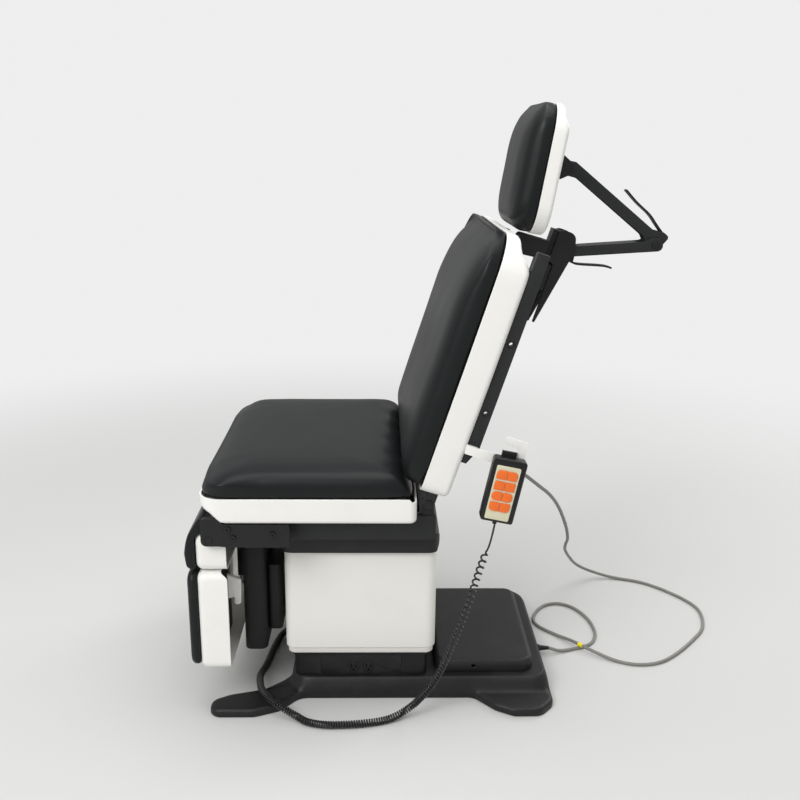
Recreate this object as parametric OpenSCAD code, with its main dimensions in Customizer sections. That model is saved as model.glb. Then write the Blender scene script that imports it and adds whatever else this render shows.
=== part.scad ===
// Power exam chair, in millimetres. +Z is up and the front of the seat faces -Y.
// The origin is on the floor, under the centre of the base.

/* [Base] */
// Length of the base from its front feet to its rear edge
base_len = 768; // [750:2:800]
// Half of the base's width at its waist
waist_half = 213; // [208:1:216]
// Half of the base's width at its feet
foot_half = 284; // [278:1:292]
// Height of the thin rim round the base
rim_h = 15; // [13:1:17]
// Height of the flat deck
deck_h = 48; // [46:1:52]
// Thickness of the steel floor plate
plate_t = 8; // [6:1:9]
// Width of the rear lid
lid_w = 360; // [330:5:370]
// Length of the rear lid
lid_l = 230; // [210:5:236]
// Height of the rear lid above the deck
lid_h = 30; // [27:1:36]

/* [Lift column] */
// Centre of the column along the base
column_y = -52; // [-54:1:-50]
// Width of the fixed inner box of the column
box_w = 380; // [372:2:384]
// Length of the fixed inner box of the column
box_l = 302; // [296:2:304]
// Height of the fixed inner box above the deck
box_h = 252; // [244:2:258]
// Wall of the inner box and of the middle cover
cover_wall = 4; // [3:0.5:4.5]
// Wall of the white outer cover
outer_wall = 5; // [4:0.5:6]
// Gap between one telescoping cover and the next
cover_gap = 4; // [3.5:0.5:4.5]
// Height of the middle cover's lower edge above the floor
middle_bottom = 104; // [100:1:110]
// Height of the middle cover
middle_h = 226; // [220:1:228]
// Height of the outer cover's lower edge above the floor
cover_bottom = 112; // [110:1:116]
// Height of the outer cover
cover_h = 254; // [250:1:256]
// Height of the black shroud over the cover
shroud_h = 45; // [43:1:46]
// Width of the fixed lift tube
tube_w = 120; // [112:2:126]
// Wall of the lift tubes
tube_wall = 5; // [4:0.5:5]
// Sliding gap between two lift tubes
tube_gap = 0.5; // [0.3:0.1:0.6]

/* [Seat] */
// Width of the seat and of the back
seat_w = 600; // [590:2:604]
// Height of the white seat shell's lower edge
seat_bottom = 469; // [468:1:472]
// Height of the white seat shell
seat_shell_h = 53; // [48:1:56]
// Front of the seat, ahead of the origin
seat_front = 377; // [372:1:380]
// Rear edge of the seat shell
seat_rear = 66; // [62:1:67]
// Thickness of the seat cushion at its crown
seat_pad_t = 58; // [52:1:60]
// Height of the tilt axis above the floor
tilt_z = 427; // [427:0.5:430]
// Radius of the tilt pins
tilt_pin_r = 10; // [8:0.5:11]
// Running clearance round every hinge pin
pin_clear = 0.05; // [0.02:0.01:0.08]

/* [Back] */
// Lean of the back from upright, in degrees
back_lean = 17.6; // [16:0.2:19]
// Length of the back shell
back_len = 545; // [535:1:550]
// Depth of the back shell
back_shell_t = 54; // [52:1:55]
// Thickness of the back cushion at its crown
back_pad_t = 62; // [56:1:64]
// Wall of every white shell
shell_wall = 4; // [3:0.5:4.5]
// Width of an accessory rail
rail_w = 20; // [18:1:22]
// Depth of an accessory rail
rail_d = 25; // [22:1:27]
// Radius of the hole through a rail bushing
bushing_bore_r = 4.5; // [4:0.1:5]
// Radius of the outside of a rail bushing
bushing_r = 8; // [7:0.5:9]

/* [Headrest] */
// Width of the headrest
head_w = 300; // [280:5:310]
// Length of the headrest
head_len = 249; // [236:1:254]
// Lean of the headrest from upright, in degrees
head_lean = 9.2; // [8:0.2:10]
// Depth of a headrest arm
arm_d = 22; // [20:1:24]
// Thickness of the arm plates and of the lugs
arm_t = 4; // [3:0.5:4.5]

/* [Leg section] */
// Half of the width of the leg section
leg_half = 278; // [270:1:279]
// Height of the upper leg shell's lower edge
leg_split = 348; // [346:1:352]
// Height of the footpad's lower edge
footpad_bottom = 115; // [112:1:120]
// Depth of the leg shells
leg_shell_d = 70; // [66:1:72]
// Thickness of the leg cushions
leg_pad_t = 26; // [22:1:27]

/* [Hand control] */
// Width of the hand control
handset_w = 69; // [66:1:72]
// Height of the hand control
handset_h = 136; // [132:1:142]
// Thickness of the hand control's case
handset_t = 28; // [24:1:29]
// Lean of the hand control from upright, in degrees
handset_lean = 11.5; // [10:0.5:13]
// Width of one button
button_w = 20; // [18:0.5:20.5]
// Height of one button
button_h = 18.5; // [16:0.5:19]
// Height that a button stands proud of the keypad
button_proud = 2; // [1.5:0.1:2.5]

/* [Cords] */
// Diameter of the mains cord
mains_d = 8; // [7:0.5:9]
// Diameter of the wire in the curly cord
curly_wire_d = 3.5; // [3:0.1:3.8]
// Outer diameter of the curls
curly_d = 17; // [15:0.5:18]

/* [Hidden] */
$fn = 40;
// Overshoot of a cut through a face
cut = 1;
// Gap between two pieces that rest against each other
seat_gap = 0.3;
body_black = "#2b2b2c";
vinyl_black = "#26272a";
shell_white = "#e8e6e0";
frame_grey = "#3a3b3d";
steel = "#b9bbbd";
orange = "#f06a28";
cream = "#d9d5b8";
cord_grey = "#6f6e6a";

// Outline and polyhedron helpers
function unit(v) = v / norm(v);
// Arc that rounds the corner at b, on the way from a to c
function corner(a, b, c, r, n = 5) =
  let(u = unit(a - b), v = unit(c - b), half = acos(max(-1, min(1, u * v))) / 2)
  r == 0 || half > 89 ? [b] :
  let(t = r / tan(half), m = b + unit(u + v) * r / sin(half),
      p = b + u * t - m, q = b + v * t - m,
      a0 = atan2(p[1], p[0]), d = atan2(q[1], q[0]) - a0,
      turn = d > 180 ? d - 360 : d < -180 ? d + 360 : d)
  [for (i = [0:n]) m + r * [cos(a0 + turn * i / n), sin(a0 + turn * i / n)]];
// Closed outline with each corner [x, y, r] rounded by its own radius r
function rounded(p, n = 5) = [for (i = [0:len(p) - 1])
  let(a = p[(i + len(p) - 1) % len(p)], b = p[i], c = p[(i + 1) % len(p)])
  each corner([a[0], a[1]], [b[0], b[1]], [c[0], c[1]], b[2], n)];
// Rounded rectangle between two corners
function rect(x0, y0, x1, y1, r, n = 5) =
  rounded([[x0, y0, r], [x1, y0, r], [x1, y1, r], [x0, y1, r]], n);
// Outline moved inwards by d along its own normals, for a counterclockwise outline
function inset(p, d) = [for (i = [0:len(p) - 1])
  let(a = p[(i + len(p) - 1) % len(p)], c = p[(i + 1) % len(p)], t = unit(c - a))
  p[i] + d * [-t[1], t[0]]];
// Triangles between m rings of n points
function ring_faces(n, m) = concat(
  [for (k = [0:m - 2], i = [0:n - 1]) [k * n + i, (k + 1) * n + (i + 1) % n, k * n + (i + 1) % n]],
  [for (k = [0:m - 2], i = [0:n - 1]) [k * n + i, (k + 1) * n + i, (k + 1) * n + (i + 1) % n]]);
// Skin over rings, closed at both ends by triangles round a point
module skin(rings, low, high) {
  n = len(rings[0]);
  m = len(rings);
  polyhedron(concat([for (r = rings) each r], [low, high]), concat(ring_faces(n, m),
    [for (i = [0:n - 1]) [m * n, i, (i + 1) % n]],
    [for (i = [0:n - 1]) [m * n + 1, (m - 1) * n + (i + 1) % n, (m - 1) * n + i]]), convexity = 6);
}
// Plan of a cushion: a rounded rectangle whose sides pull in by pull at their middles
function pad_plan(w, l, r, off, pull) =
  let(q = max(r - off, 2), x = w / 2 - off - q, y = l / 2 - off - q, m = 4, s = 4,
      mid = [[x, y], [-x, y], [-x, -y], [x, -y]])
  [for (k = [0:3]) each
    let(a = 90 * (k + 1), out = [cos(a), sin(a)], p0 = mid[k] + q * out, p1 = mid[(k + 1) % 4] + q * out)
    concat([for (i = [0:m]) mid[k] + q * [cos(90 * (k + i / m)), sin(90 * (k + i / m))]],
           [for (i = [1:s - 1]) let(t = i / s) p0 * (1 - t) + p1 * t - 4 * pull * t * (1 - t) * out])];
// Crowned cushion on the plane Z = 0. Each step is [inset, height, share of the side pull]
module pad(w, l, r, steps, crown, pull) {
  rings = [for (s = steps) [for (p = pad_plan(w, l, r, s[0], pull * s[2])) [p[0], p[1], s[1]]]];
  skin(rings, [0, 0, steps[0][1]], [0, 0, crown]);
}
// Smooth path through hand-set points, with k steps between two of them
function path(p, k) = concat([for (i = [0:len(p) - 2], j = [0:k - 1])
  let(a = p[max(i - 1, 0)], b = p[i], c = p[i + 1], d = p[min(i + 2, len(p) - 1)], t = j / k)
  0.5 * (2 * b + (c - a) * t + (2 * a - 5 * b + 4 * c - d) * t * t
    + (3 * b - a - 3 * c + d) * t * t * t)], [p[len(p) - 1]]);
function heading(p, i) = unit(p[min(i + 1, len(p) - 1)] - p[max(i - 1, 0)]);
// Side direction that turns as little as possible from one ring to the next
function carry(p, i, s) = i == len(p) ? [] :
  let(t = heading(p, i), v = unit(s - (s * t) * t)) concat([v], carry(p, i + 1, v));
// Round tube of n sides swept along the points p
module tube(p, r, n, first) {
  side = carry(p, 0, first);
  rings = [for (i = [0:len(p) - 1]) let(u = side[i], v = cross(heading(p, i), u))
    [for (j = [0:n - 1]) p[i] + r * (cos(360 * j / n) * u + sin(360 * j / n) * v)]];
  skin(rings, p[0], p[len(p) - 1]);
}

// Solids between two corners, plates in the Y-Z plane and round bars along X
module block(a, b) { translate(a) cube(b - a); }
module side_plate(points, x0, x1) {
  translate([x0, 0, 0]) rotate([90, 0, 90]) linear_extrude(x1 - x0) polygon(points);
}
module slab(points, z0, z1) { translate([0, 0, z0]) linear_extrude(z1 - z0) polygon(points); }
module bar_x(x0, x1, y, z, r) { translate([x0, y, z]) rotate([0, 90, 0]) cylinder(r = r, h = x1 - x0); }
module both_sides() { for (s = [0, 1]) mirror([s, 0, 0]) children(); }

// Half of the base's outline, from the front middle round to the rear middle
front = -base_len / 2;
rear = base_len / 2;
half_outline = [[140, -215, 30], [165, -235, 20], [200, -275, 40], [218, -345, 40],
  [240, front, 26], [foot_half, front, 26], [foot_half, -285, 40], [262, -230, 30],
  [waist_half, -190, 40], [waist_half, 205, 30], [262, 250, 40], [foot_half, 290, 30],
  [foot_half - 1, 350, 30], [246, rear, 40]];
base_outline = rounded(concat([for (p = half_outline) p],
  [for (i = [len(half_outline) - 1:-1:0]) let(p = half_outline[i]) [-p[0], p[1], p[2]]]), 3);
// Raised deck between the feet, carrying the column and the rear lid
deck_half = waist_half - 6;
deck_outline = rect(-deck_half, -205, deck_half, rear - 4, 40, 6);
// Inset and height of each step of the rim and of the deck's shoulder
rim_steps = [[0, rim_h - 3], [3, rim_h + 1], [8, rim_h + 4]];
deck_steps = [[0, deck_h - 14], [4, deck_h - 5], [11, deck_h]];
tube_hole = tube_w + 8;
lid_y = column_y + (box_l + 2 * (cover_gap + cover_wall) + 2 * (cover_gap + outer_wall)) / 2 + 2;
unit_w = 260;
unit_l = 150;
unit_y = lid_y + (lid_l - unit_l) / 2;

module base_cover() {
  color(body_black) difference() {
    union() {
      for (s = rim_steps) slab(inset(base_outline, s[0]), 1 + s[0], s[1]);
      for (s = deck_steps) slab(inset(deck_outline, s[0]), 1.5 + s[0], s[1]);
    }
    slab(inset(base_outline, plate_margin - seat_gap), -cut, plate_t + seat_gap);
    block([-deck_half + 12, -190, plate_t], [deck_half - 12, rear - 22, deck_h - cover_wall]);
    translate([-tube_hole / 2, column_y - tube_hole / 2, 0]) cube([tube_hole, tube_hole, deck_h + cut]);
    block([-unit_w / 2 - 2, unit_y - 2, 0], [unit_w / 2 + 2, unit_y + unit_l + 2, deck_h + cut]);
    translate([gland_x, rear + cut, gland_z]) rotate([90, 0, 0]) cylinder(r = gland_r + seat_gap, h = 40);
    translate([curly_exit[0], curly_exit[1] - cut, curly_exit[2]]) rotate([-90, 0, 0])
      cylinder(r = curly_wire_d / 2 + 1, h = 40);
  }
}
plate_margin = 6;
module base_plate() {
  color(frame_grey) slab(inset(base_outline, plate_margin), 0, plate_t);
}
module rear_lid() {
  x = lid_w / 2;
  y1 = lid_y + lid_l;
  color(body_black) difference() {
    intersection() {
      slab(rect(-x, lid_y, x, y1, 30, 6), deck_h, deck_h + lid_h);
      side_plate(rounded([[lid_y, deck_h, 0], [y1, deck_h, 0], [y1 - 4, deck_h + lid_h, 14],
        [lid_y + 2, deck_h + lid_h, 4]]), -x, x);
      translate([0, y1, 0]) rotate([90, 0, 0]) linear_extrude(lid_l)
        polygon(rounded([[-x, deck_h, 0], [x, deck_h, 0], [x - 6, deck_h + lid_h, 14],
          [-x + 6, deck_h + lid_h, 14]]));
    }
    block([-x + 12, lid_y + 10, deck_h - cut], [x - 12, y1 - 14, deck_h + lid_h - cover_wall]);
    translate([x - 16, 207, deck_h + lid_h / 2]) rotate([0, 90, 0]) cylinder(r = 4, h = 20);
  }
}
module power_unit() {
  top = deck_h + lid_h - cover_wall - seat_gap;
  color("dimgray") union() {
    block([-unit_w / 2, unit_y, plate_t], [unit_w / 2, unit_y + unit_l, top - 8]);
    for (x = [-80, 0, 80]) translate([x - 25, unit_y + 20, top - 8]) cube([50, unit_l - 40, 8]);
  }
}
module cover_ring(w, l, wall, z, h, r) {
  slab_outer = rect(-w / 2, column_y - l / 2, w / 2, column_y + l / 2, r);
  slab_inner = rect(-w / 2 + wall, column_y - l / 2 + wall, w / 2 - wall, column_y + l / 2 - wall, r - wall);
  difference() {
    slab(slab_outer, z, z + h);
    slab(slab_inner, z - cut, z + h + cut);
  }
}
// Blocks inside a cover's lower edge that glide on the cover within it
module glides(w, l, z) {
  t = cover_gap - seat_gap;
  both_sides() for (y = [-90, 90]) translate([w / 2 - t, column_y + y - 12, z]) cube([t, 24, 18]);
  for (x = [-120, 120], s = [0, 1]) translate([x - 12, column_y + (s == 0 ? -l / 2 : l / 2 - t), z])
    cube([24, t, 18]);
}
panel_y0 = -142;
panel_y1 = 40;
panel_z0 = 50;
panel_z1 = 102;
outlet_z = 67;
outlet_y = [-68, -34];
outlet_r = 13;
module inner_column_box() {
  color(body_black) difference() {
    cover_ring(box_w, box_l, cover_wall, deck_h, box_h, 12);
    block([box_w / 2 - 10, panel_y0, panel_z0], [box_w / 2 + cut, panel_y1, panel_z1]);
  }
}
module receptacle_panel() {
  g = seat_gap;
  x = box_w / 2;
  color("#1f1f20") difference() {
    union() {
      block([x - cover_wall, panel_y0 + g, panel_z0 + g], [x, panel_y1 - g, panel_z1 - g]);
      block([x - cover_wall - 3, panel_y0 - 6, panel_z0], [x - cover_wall - g, panel_y1 + 6, panel_z1]);
      block([x - cover_wall - 1, panel_y0 + 4, panel_z0 + 4], [x - 1, panel_y1 - 4, panel_z1 - 4]);
    }
    for (y = outlet_y) bar_x(x - 20, x + cut, y, outlet_z, outlet_r + g);
  }
}
module outlet_sockets() {
  color("black") difference() {
    union() {
      for (y = outlet_y) bar_x(box_w / 2 - 22, box_w / 2 + 0.6, y, outlet_z, outlet_r);
      block([box_w / 2 - 40, outlet_y[0] - 16, outlet_z - 17], [box_w / 2 - 12, outlet_y[1] + 16, outlet_z + 20]);
    }
    for (y = outlet_y) {
      block([box_w / 2 - 12, y - 6, outlet_z - 1], [box_w / 2 + cut, y - 4, outlet_z + 7]);
      block([box_w / 2 - 12, y + 4, outlet_z], [box_w / 2 + cut, y + 6, outlet_z + 7]);
      bar_x(box_w / 2 - 12, box_w / 2 + cut, y, outlet_z - 6, 2.4);
    }
  }
}
module lift_tube(w, z0, z1) {
  difference() {
    slab(rect(-w / 2, column_y - w / 2, w / 2, column_y + w / 2, 4, 3), z0, z1);
    slab(rect(-w / 2 + tube_wall, column_y - w / 2 + tube_wall, w / 2 - tube_wall,
      column_y + w / 2 - tube_wall, 1, 3), z0 - cut, z1 + cut);
  }
}
middle_tube_w = tube_w - 2 * (tube_wall + tube_gap);
inner_tube_w = middle_tube_w - 2 * (tube_wall + tube_gap);
module lift_column_outer() { color(steel) lift_tube(tube_w, plate_t, 310); }
module lift_column_middle() { color(steel) lift_tube(middle_tube_w, plate_t + 12, 320); }
gland_x = 26;
gland_z = 16;
gland_r = 7;
module mains_gland() {
  color("#202021") difference() {
    union() {
      translate([gland_x, rear - 20, gland_z]) rotate([-90, 0, 0]) cylinder(r = gland_r, h = 20);
      translate([gland_x, rear, gland_z]) rotate([-90, 0, 0]) cylinder(r = gland_r + 2, h = 3);
      translate([gland_x, rear + 3, gland_z]) rotate([-90, 0, 0]) cylinder(r = gland_r - 1, h = 17);
    }
    translate([gland_x, rear + 10, gland_z]) rotate([-90, 0, 0]) cylinder(r = mains_d / 2 + 0.05, h = 12);
  }
}
middle_w = box_w + 2 * (cover_gap + cover_wall);
middle_l = box_l + 2 * (cover_gap + cover_wall);
cover_w = middle_w + 2 * (cover_gap + outer_wall);
cover_l = middle_l + 2 * (cover_gap + outer_wall);
cover_top = cover_bottom + cover_h;
module middle_cover() {
  color(body_black) {
    cover_ring(middle_w, middle_l, cover_wall, middle_bottom, middle_h, 16);
    glides(middle_w - 2 * cover_wall, middle_l - 2 * cover_wall, middle_bottom);
  }
}
module column_cover() {
  color(shell_white) {
    cover_ring(cover_w, cover_l, outer_wall, cover_bottom, cover_h, 20);
    glides(cover_w - 2 * outer_wall, cover_l - 2 * outer_wall, cover_bottom);
  }
}
shroud_side = 13;
shroud_end = 5;
shroud_w = cover_w + 2 * shroud_side;
shroud_l = cover_l + 2 * shroud_end;
shroud_top = cover_top + shroud_h;
tilt_y = 90;
ear_x0 = 100;
ear_x1 = 115;
ear_r = tilt_pin_r + 5;
module upper_shroud() {
  x = shroud_w / 2;
  y0 = column_y - shroud_l / 2;
  y1 = column_y + shroud_l / 2;
  z0 = cover_top;
  color("#1f1f20") difference() {
    intersection() {
      slab(rect(-x, y0, x, y1, 24), z0, shroud_top);
      side_plate(rounded([[y0 + 6, z0, 4], [y1 - 6, z0, 4], [y1, z0 + 20, 10], [y1, shroud_top, 14],
        [y0, shroud_top, 14], [y0, z0 + 20, 10]]), -x, x);
    }
    slab(rect(-cover_w / 2 + outer_wall, y0 + 12, cover_w / 2 - outer_wall, y1 - 12, 10),
      z0 - cut, shroud_top - cover_wall);
    both_sides() block([ear_x0 - 2, tilt_y - ear_r - 3, z0], [ear_x1 + 2, tilt_y + ear_r + 3, shroud_top + cut]);
  }
}
carriage_t = 8;
module carriage_frame() {
  g = seat_gap;
  x = cover_w / 2 - outer_wall - g;
  y = cover_l / 2 - outer_wall - g;
  color(frame_grey) {
    lift_tube(inner_tube_w, plate_t + 24, cover_top - carriage_t);
    slab(rect(-x, column_y - y, x, column_y + y, 14), cover_top - carriage_t, cover_top);
    both_sides() difference() {
      side_plate(rounded([[tilt_y - ear_r, cover_top - 1, 0], [tilt_y + ear_r, cover_top - 1, 0],
        [tilt_y + ear_r, tilt_z + ear_r, ear_r - 0.01], [tilt_y - ear_r, tilt_z + ear_r, ear_r - 0.01]], 8),
        ear_x0, ear_x1);
      bar_x(ear_x0 - cut, ear_x1 + cut, tilt_y, tilt_z, tilt_pin_r + pin_clear);
    }
  }
}

// Places in the Y-Z plane and frames that lean back about the X axis
function leaned(o, a, v, u) = [o[0] + u * sin(a) + v * cos(a), o[1] + u * cos(a) - v * sin(a)];
module lean(o, a) { translate([0, o[0], o[1]]) rotate([-a, 0, 0]) children(); }
module front_plate(points, y0, y1) {
  translate([0, y1, 0]) rotate([90, 0, 0]) linear_extrude(y1 - y0) polygon(points);
}
// Cushion standing upright, its crown facing -Y and its back on the plane Y = 0
module upright_pad(w, z0, z1, r, steps, crown, pull) {
  translate([0, 0, (z0 + z1) / 2]) rotate([90, 0, 0]) pad(w, z1 - z0, r, steps, crown, pull);
}

back_origin = [seat_rear + 5.5, seat_bottom + seat_shell_h + 14];
pivot_v = 30;
pivot_u = -28;
recline_axis = leaned(back_origin, back_lean, pivot_v, pivot_u);
hinge_pin_r = 8;
leg_axis = [-362, 430];
seat_half = seat_w / 2;
seat_top = seat_bottom + seat_shell_h;
rail_x0 = 235;
rail_x1 = 255;
post_x0 = 240;
post_x1 = 252;
arm_x0 = 254;
arm_x1 = 266;
lug_x0 = 118;
lug_x1 = 130;
cross_top = seat_bottom - 4;
cross_z = cross_top - 25;
rear_cross_z = tilt_z + ear_r + 4;
seat_rail_front = -298;
seat_rail_rear = 108;

module seat_frame() {
  rail = rounded([[seat_rail_front, 395, 6], [-208, 395, 12], [-190, 414, 12],
    [seat_rail_rear, 414, 6], [seat_rail_rear, seat_bottom, 3], [seat_rail_front, seat_bottom, 3]]);
  color(frame_grey) difference() {
    union() {
      both_sides() side_plate(rail, rail_x0, rail_x1);
      block([-rail_x0, seat_rail_front, cross_z], [rail_x0, seat_rail_front + 26, cross_top]);
      block([-rail_x0, -120, cross_z], [rail_x0, -95, cross_top]);
      block([-rail_x0, tilt_y - 15, rear_cross_z], [rail_x0, tilt_y + 15, cross_top]);
      both_sides() side_plate(rounded([[tilt_y - ear_r, tilt_z - ear_r, ear_r - 0.01],
        [tilt_y + ear_r, tilt_z - ear_r, ear_r - 0.01], [tilt_y + ear_r, cross_top - 2, 0],
        [tilt_y - ear_r, cross_top - 2, 0]], 8), lug_x0, lug_x1);
      both_sides() side_plate(rounded([[recline_axis[0] - 12, 440, 0], [recline_axis[0] + 12, 440, 0],
        [recline_axis[0] + 12, recline_axis[1] + 13, 11], [recline_axis[0] - 12, recline_axis[1] + 13, 11]], 8),
        post_x0, post_x1);
    }
    both_sides() bar_x(lug_x0 - cut, lug_x1 + cut, tilt_y, tilt_z, tilt_pin_r);
    both_sides() bar_x(post_x0 - cut, post_x1 + cut, recline_axis[0], recline_axis[1], hinge_pin_r);
  }
}
module seat_outline(off, floor) {
  top = seat_top + (floor ? cut : 0);
  lift = floor ? shell_wall : 0;
  intersection() {
    slab(rect(-seat_half + off, -seat_front + off, seat_half - off, seat_rear - off, 48, 6), seat_bottom, top);
    side_plate(rounded([[-326 + off, seat_bottom + lift, 14], [seat_rear - off, seat_bottom + lift, 6],
      [seat_rear - off, top, 0], [-seat_front + off, top, 0], [-seat_front + off, seat_bottom + 36 + lift, 16],
      [-350 + off, seat_bottom + 23 + lift, 20]]), -seat_half, seat_half);
  }
}
module seat_shell() {
  color(shell_white) difference() {
    seat_outline(0, false);
    seat_outline(shell_wall, true);
  }
}
seat_pad_steps = [[9, 0, 0.4], [2, 7, 0.7], [0, 18, 1], [2, 30, 1], [9, 42, 0.9], [24, 51, 0.5], [60, 56, 0.2]];
module seat_cushion() {
  y0 = -seat_front - 2;
  y1 = seat_rear - 33;
  color(vinyl_black) translate([0, (y0 + y1) / 2, seat_top + seat_gap])
    pad(seat_w - 1, y1 - y0, 52, seat_pad_steps, seat_pad_t, 5);
}
bracket_x0 = leg_half + 5;
bracket_x1 = bracket_x0 + 12;
module hinge_bracket() {
  color("#232324") difference() {
    union() {
      side_plate(rounded([[-379, leg_axis[1] - 14, 12], [-342, leg_axis[1] - 14, 4], [-323, 414, 4], [-195, 414, 8],
        [-195, 465, 8], [-330, 465, 4], [-342, 478, 4], [-379, 478, 10]]), bracket_x0, bracket_x1);
      block([rail_x1, -290, 430], [bracket_x0 + 1, -200, 462]);
    }
    bar_x(bracket_x0 - cut, bracket_x1 + cut, leg_axis[0], leg_axis[1], hinge_pin_r);
  }
}
module leg_hinge_bracket_left() { hinge_bracket(); }
module leg_hinge_bracket_right() { mirror([1, 0, 0]) hinge_bracket(); }
module frame_bolts() {
  color("dimgray") both_sides() for (p = [[-322, 456], [-312, 436], [-230, 444]])
    bar_x(bracket_x1, bracket_x1 + 3.5, p[0], p[1], 6, $fn = 6);
}
module actuator_housing() { color("#2a2a2b") slab(rect(40, -312, 200, -262, 14), 119, cross_z); }
module leg_motor() { color("#1e1e1f") slab(rect(70, -262, 170, -230, 10), 153, 314); }
module hinge_pins() {
  color(steel) both_sides() {
    bar_x(ear_x0 - 5, lug_x1 + 5, tilt_y, tilt_z, tilt_pin_r);
    bar_x(post_x0 - 2, arm_x1 + 2, recline_axis[0], recline_axis[1], hinge_pin_r);
    bar_x(leg_arm_x0 - 2, bracket_x1, leg_axis[0], leg_axis[1], hinge_pin_r);
  }
}

// Back, in its own frame: X across, Y to the rear and Z up the back
rail_v0 = 60;
rail_u0 = 112;
rail_u1 = 530;
acc_x0 = 270;
bushing_u = [198, 346];
lug_bar_u = [100, 462];
back_wall = back_shell_t - shell_wall;
back_half = seat_w / 2;
back_side = rounded([[0, 4, 3], [10, 0, 6], [back_shell_t - 6, 2, 10], [back_shell_t, 20, 10],
  [back_shell_t, back_len - 44, 16], [34, back_len - 20, 16], [32, back_len, 5], [0, back_len, 3]]);
module in_back() { lean(back_origin, back_lean) children(); }
module back_shell() {
  w = shell_wall;
  color(shell_white) in_back() difference() {
    intersection() {
      side_plate(back_side, -back_half, back_half);
      front_plate(rounded([[-back_half + 6, 0, 24], [back_half - 6, 0, 24], [back_half, back_len / 2, 0],
        [back_half - 4, back_len, 64], [-back_half + 4, back_len, 64], [-back_half, back_len / 2, 0]], 8),
        -cut, back_shell_t + cut);
    }
    intersection() {
      side_plate(rounded([[-cut, w, 0], [back_wall, w, 8], [back_wall, back_len - 48, 12], [30, back_len - 25, 12],
        [28, back_len - w, 4], [-cut, back_len - w, 0]]), -back_half, back_half);
      front_plate(rect(-back_half + w + 4, w, back_half - w - 4, back_len - w, 58, 8), -2 * cut, back_shell_t);
    }
    both_sides() block([arm_x0 - 2, pivot_v - 14, -cut], [arm_x1 + 2, pivot_v + 14, w + 22]);
    both_sides() for (u = lug_bar_u) block([arm_x1 - 2, back_wall - 12, u - 18],
      [acc_x0 + rail_w - 2, back_shell_t + cut, u + 31]);
  }
}
back_pad_steps = [[8, 0, 0.4], [2, 8, 0.7], [0, 22, 1], [4, 38, 1], [14, 50, 0.8], [34, 57, 0.4], [80, 60, 0.2]];
module back_cushion() {
  color(vinyl_black) in_back() translate([0, -seat_gap, 0])
    upright_pad(seat_w - 8, 2, back_len + 2, 64, back_pad_steps, back_pad_t, 5);
}
module back_frame() {
  color(frame_grey) in_back() difference() {
    union() {
      both_sides() {
        side_plate(rounded([[pivot_v - 12, pivot_u - 12, 11], [pivot_v + 12, pivot_u - 12, 11],
          [pivot_v + 12, 500, 4], [pivot_v - 12, 500, 4]], 8), arm_x0, arm_x1);
        for (u = lug_bar_u) block([arm_x1 - 1, pivot_v, u], [acc_x0 + rail_w - 3, rail_v0, u + 30]);
        translate([0, rail_v0, lug_bar_u[0]])
          side_plate([[-1, 12], [21, 12], [10, -14], [-1, -14]], acc_x0 + 2, acc_x0 + rail_w - 3);
      }
      for (u = [60, 250, 466]) block([-arm_x0 - 1, pivot_v - 8, u], [arm_x0 + 1, pivot_v + 8, u + 30]);
    }
    both_sides() bar_x(arm_x0 - cut, arm_x1 + cut, pivot_v, pivot_u, hinge_pin_r + pin_clear);
  }
}
module accessory_rail() {
  color("#262627") in_back() difference() {
    block([acc_x0, rail_v0, rail_u0], [acc_x0 + rail_w, rail_v0 + rail_d, rail_u1]);
    for (u = bushing_u) bar_x(acc_x0 - cut, acc_x0 + rail_w + cut, rail_v0 + rail_d / 2, u, bushing_r);
  }
}
module rail_left() { accessory_rail(); }
module rail_right() { mirror([1, 0, 0]) accessory_rail(); }
module rail_bushings() {
  color(steel) in_back() both_sides() for (u = bushing_u) difference() {
    bar_x(acc_x0, acc_x0 + rail_w, rail_v0 + rail_d / 2, u, bushing_r);
    bar_x(acc_x0 - cut, acc_x0 + rail_w + cut, rail_v0 + rail_d / 2, u, bushing_bore_r);
  }
}

// Leg section
leg_arm_x0 = 256;
leg_arm_x1 = 268;
leg_front = -396;
leg_rear = leg_front + leg_shell_d;
slide_x = 135;
slide_w = 30;
slide_d = 24;
slide_wall = 3;
slide_y0 = -376;
slide_z0 = 140;
module leg_tray(z0, z1) {
  difference() {
    front_plate(rect(-leg_half, z0, leg_half, z1, 20), leg_front, leg_rear);
    front_plate(rect(-leg_half + shell_wall, z0 + shell_wall, leg_half - shell_wall, z1 - shell_wall, 16),
      leg_front + shell_wall, leg_rear + cut);
    both_sides() block([slide_x - slide_w / 2 - 2, slide_y0 - 2, leg_split - 12],
      [slide_x + slide_w / 2 + 2, leg_rear + cut, leg_split + 14]);
  }
}
module leg_shell() {
  color(shell_white) difference() {
    leg_tray(leg_split + 2, 435);
    both_sides() block([leg_half - 10, leg_axis[0] - 10, leg_axis[1] - 10], [leg_half + cut, leg_axis[0] + 10, 440]);
    both_sides() block([leg_arm_x0 - 2, leg_axis[0] - 16, 425], [leg_arm_x1 + 2, leg_axis[0] + 16, 440]);
  }
}
module footpad_shell() { color(shell_white) leg_tray(footpad_bottom, leg_split - 2); }
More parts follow.
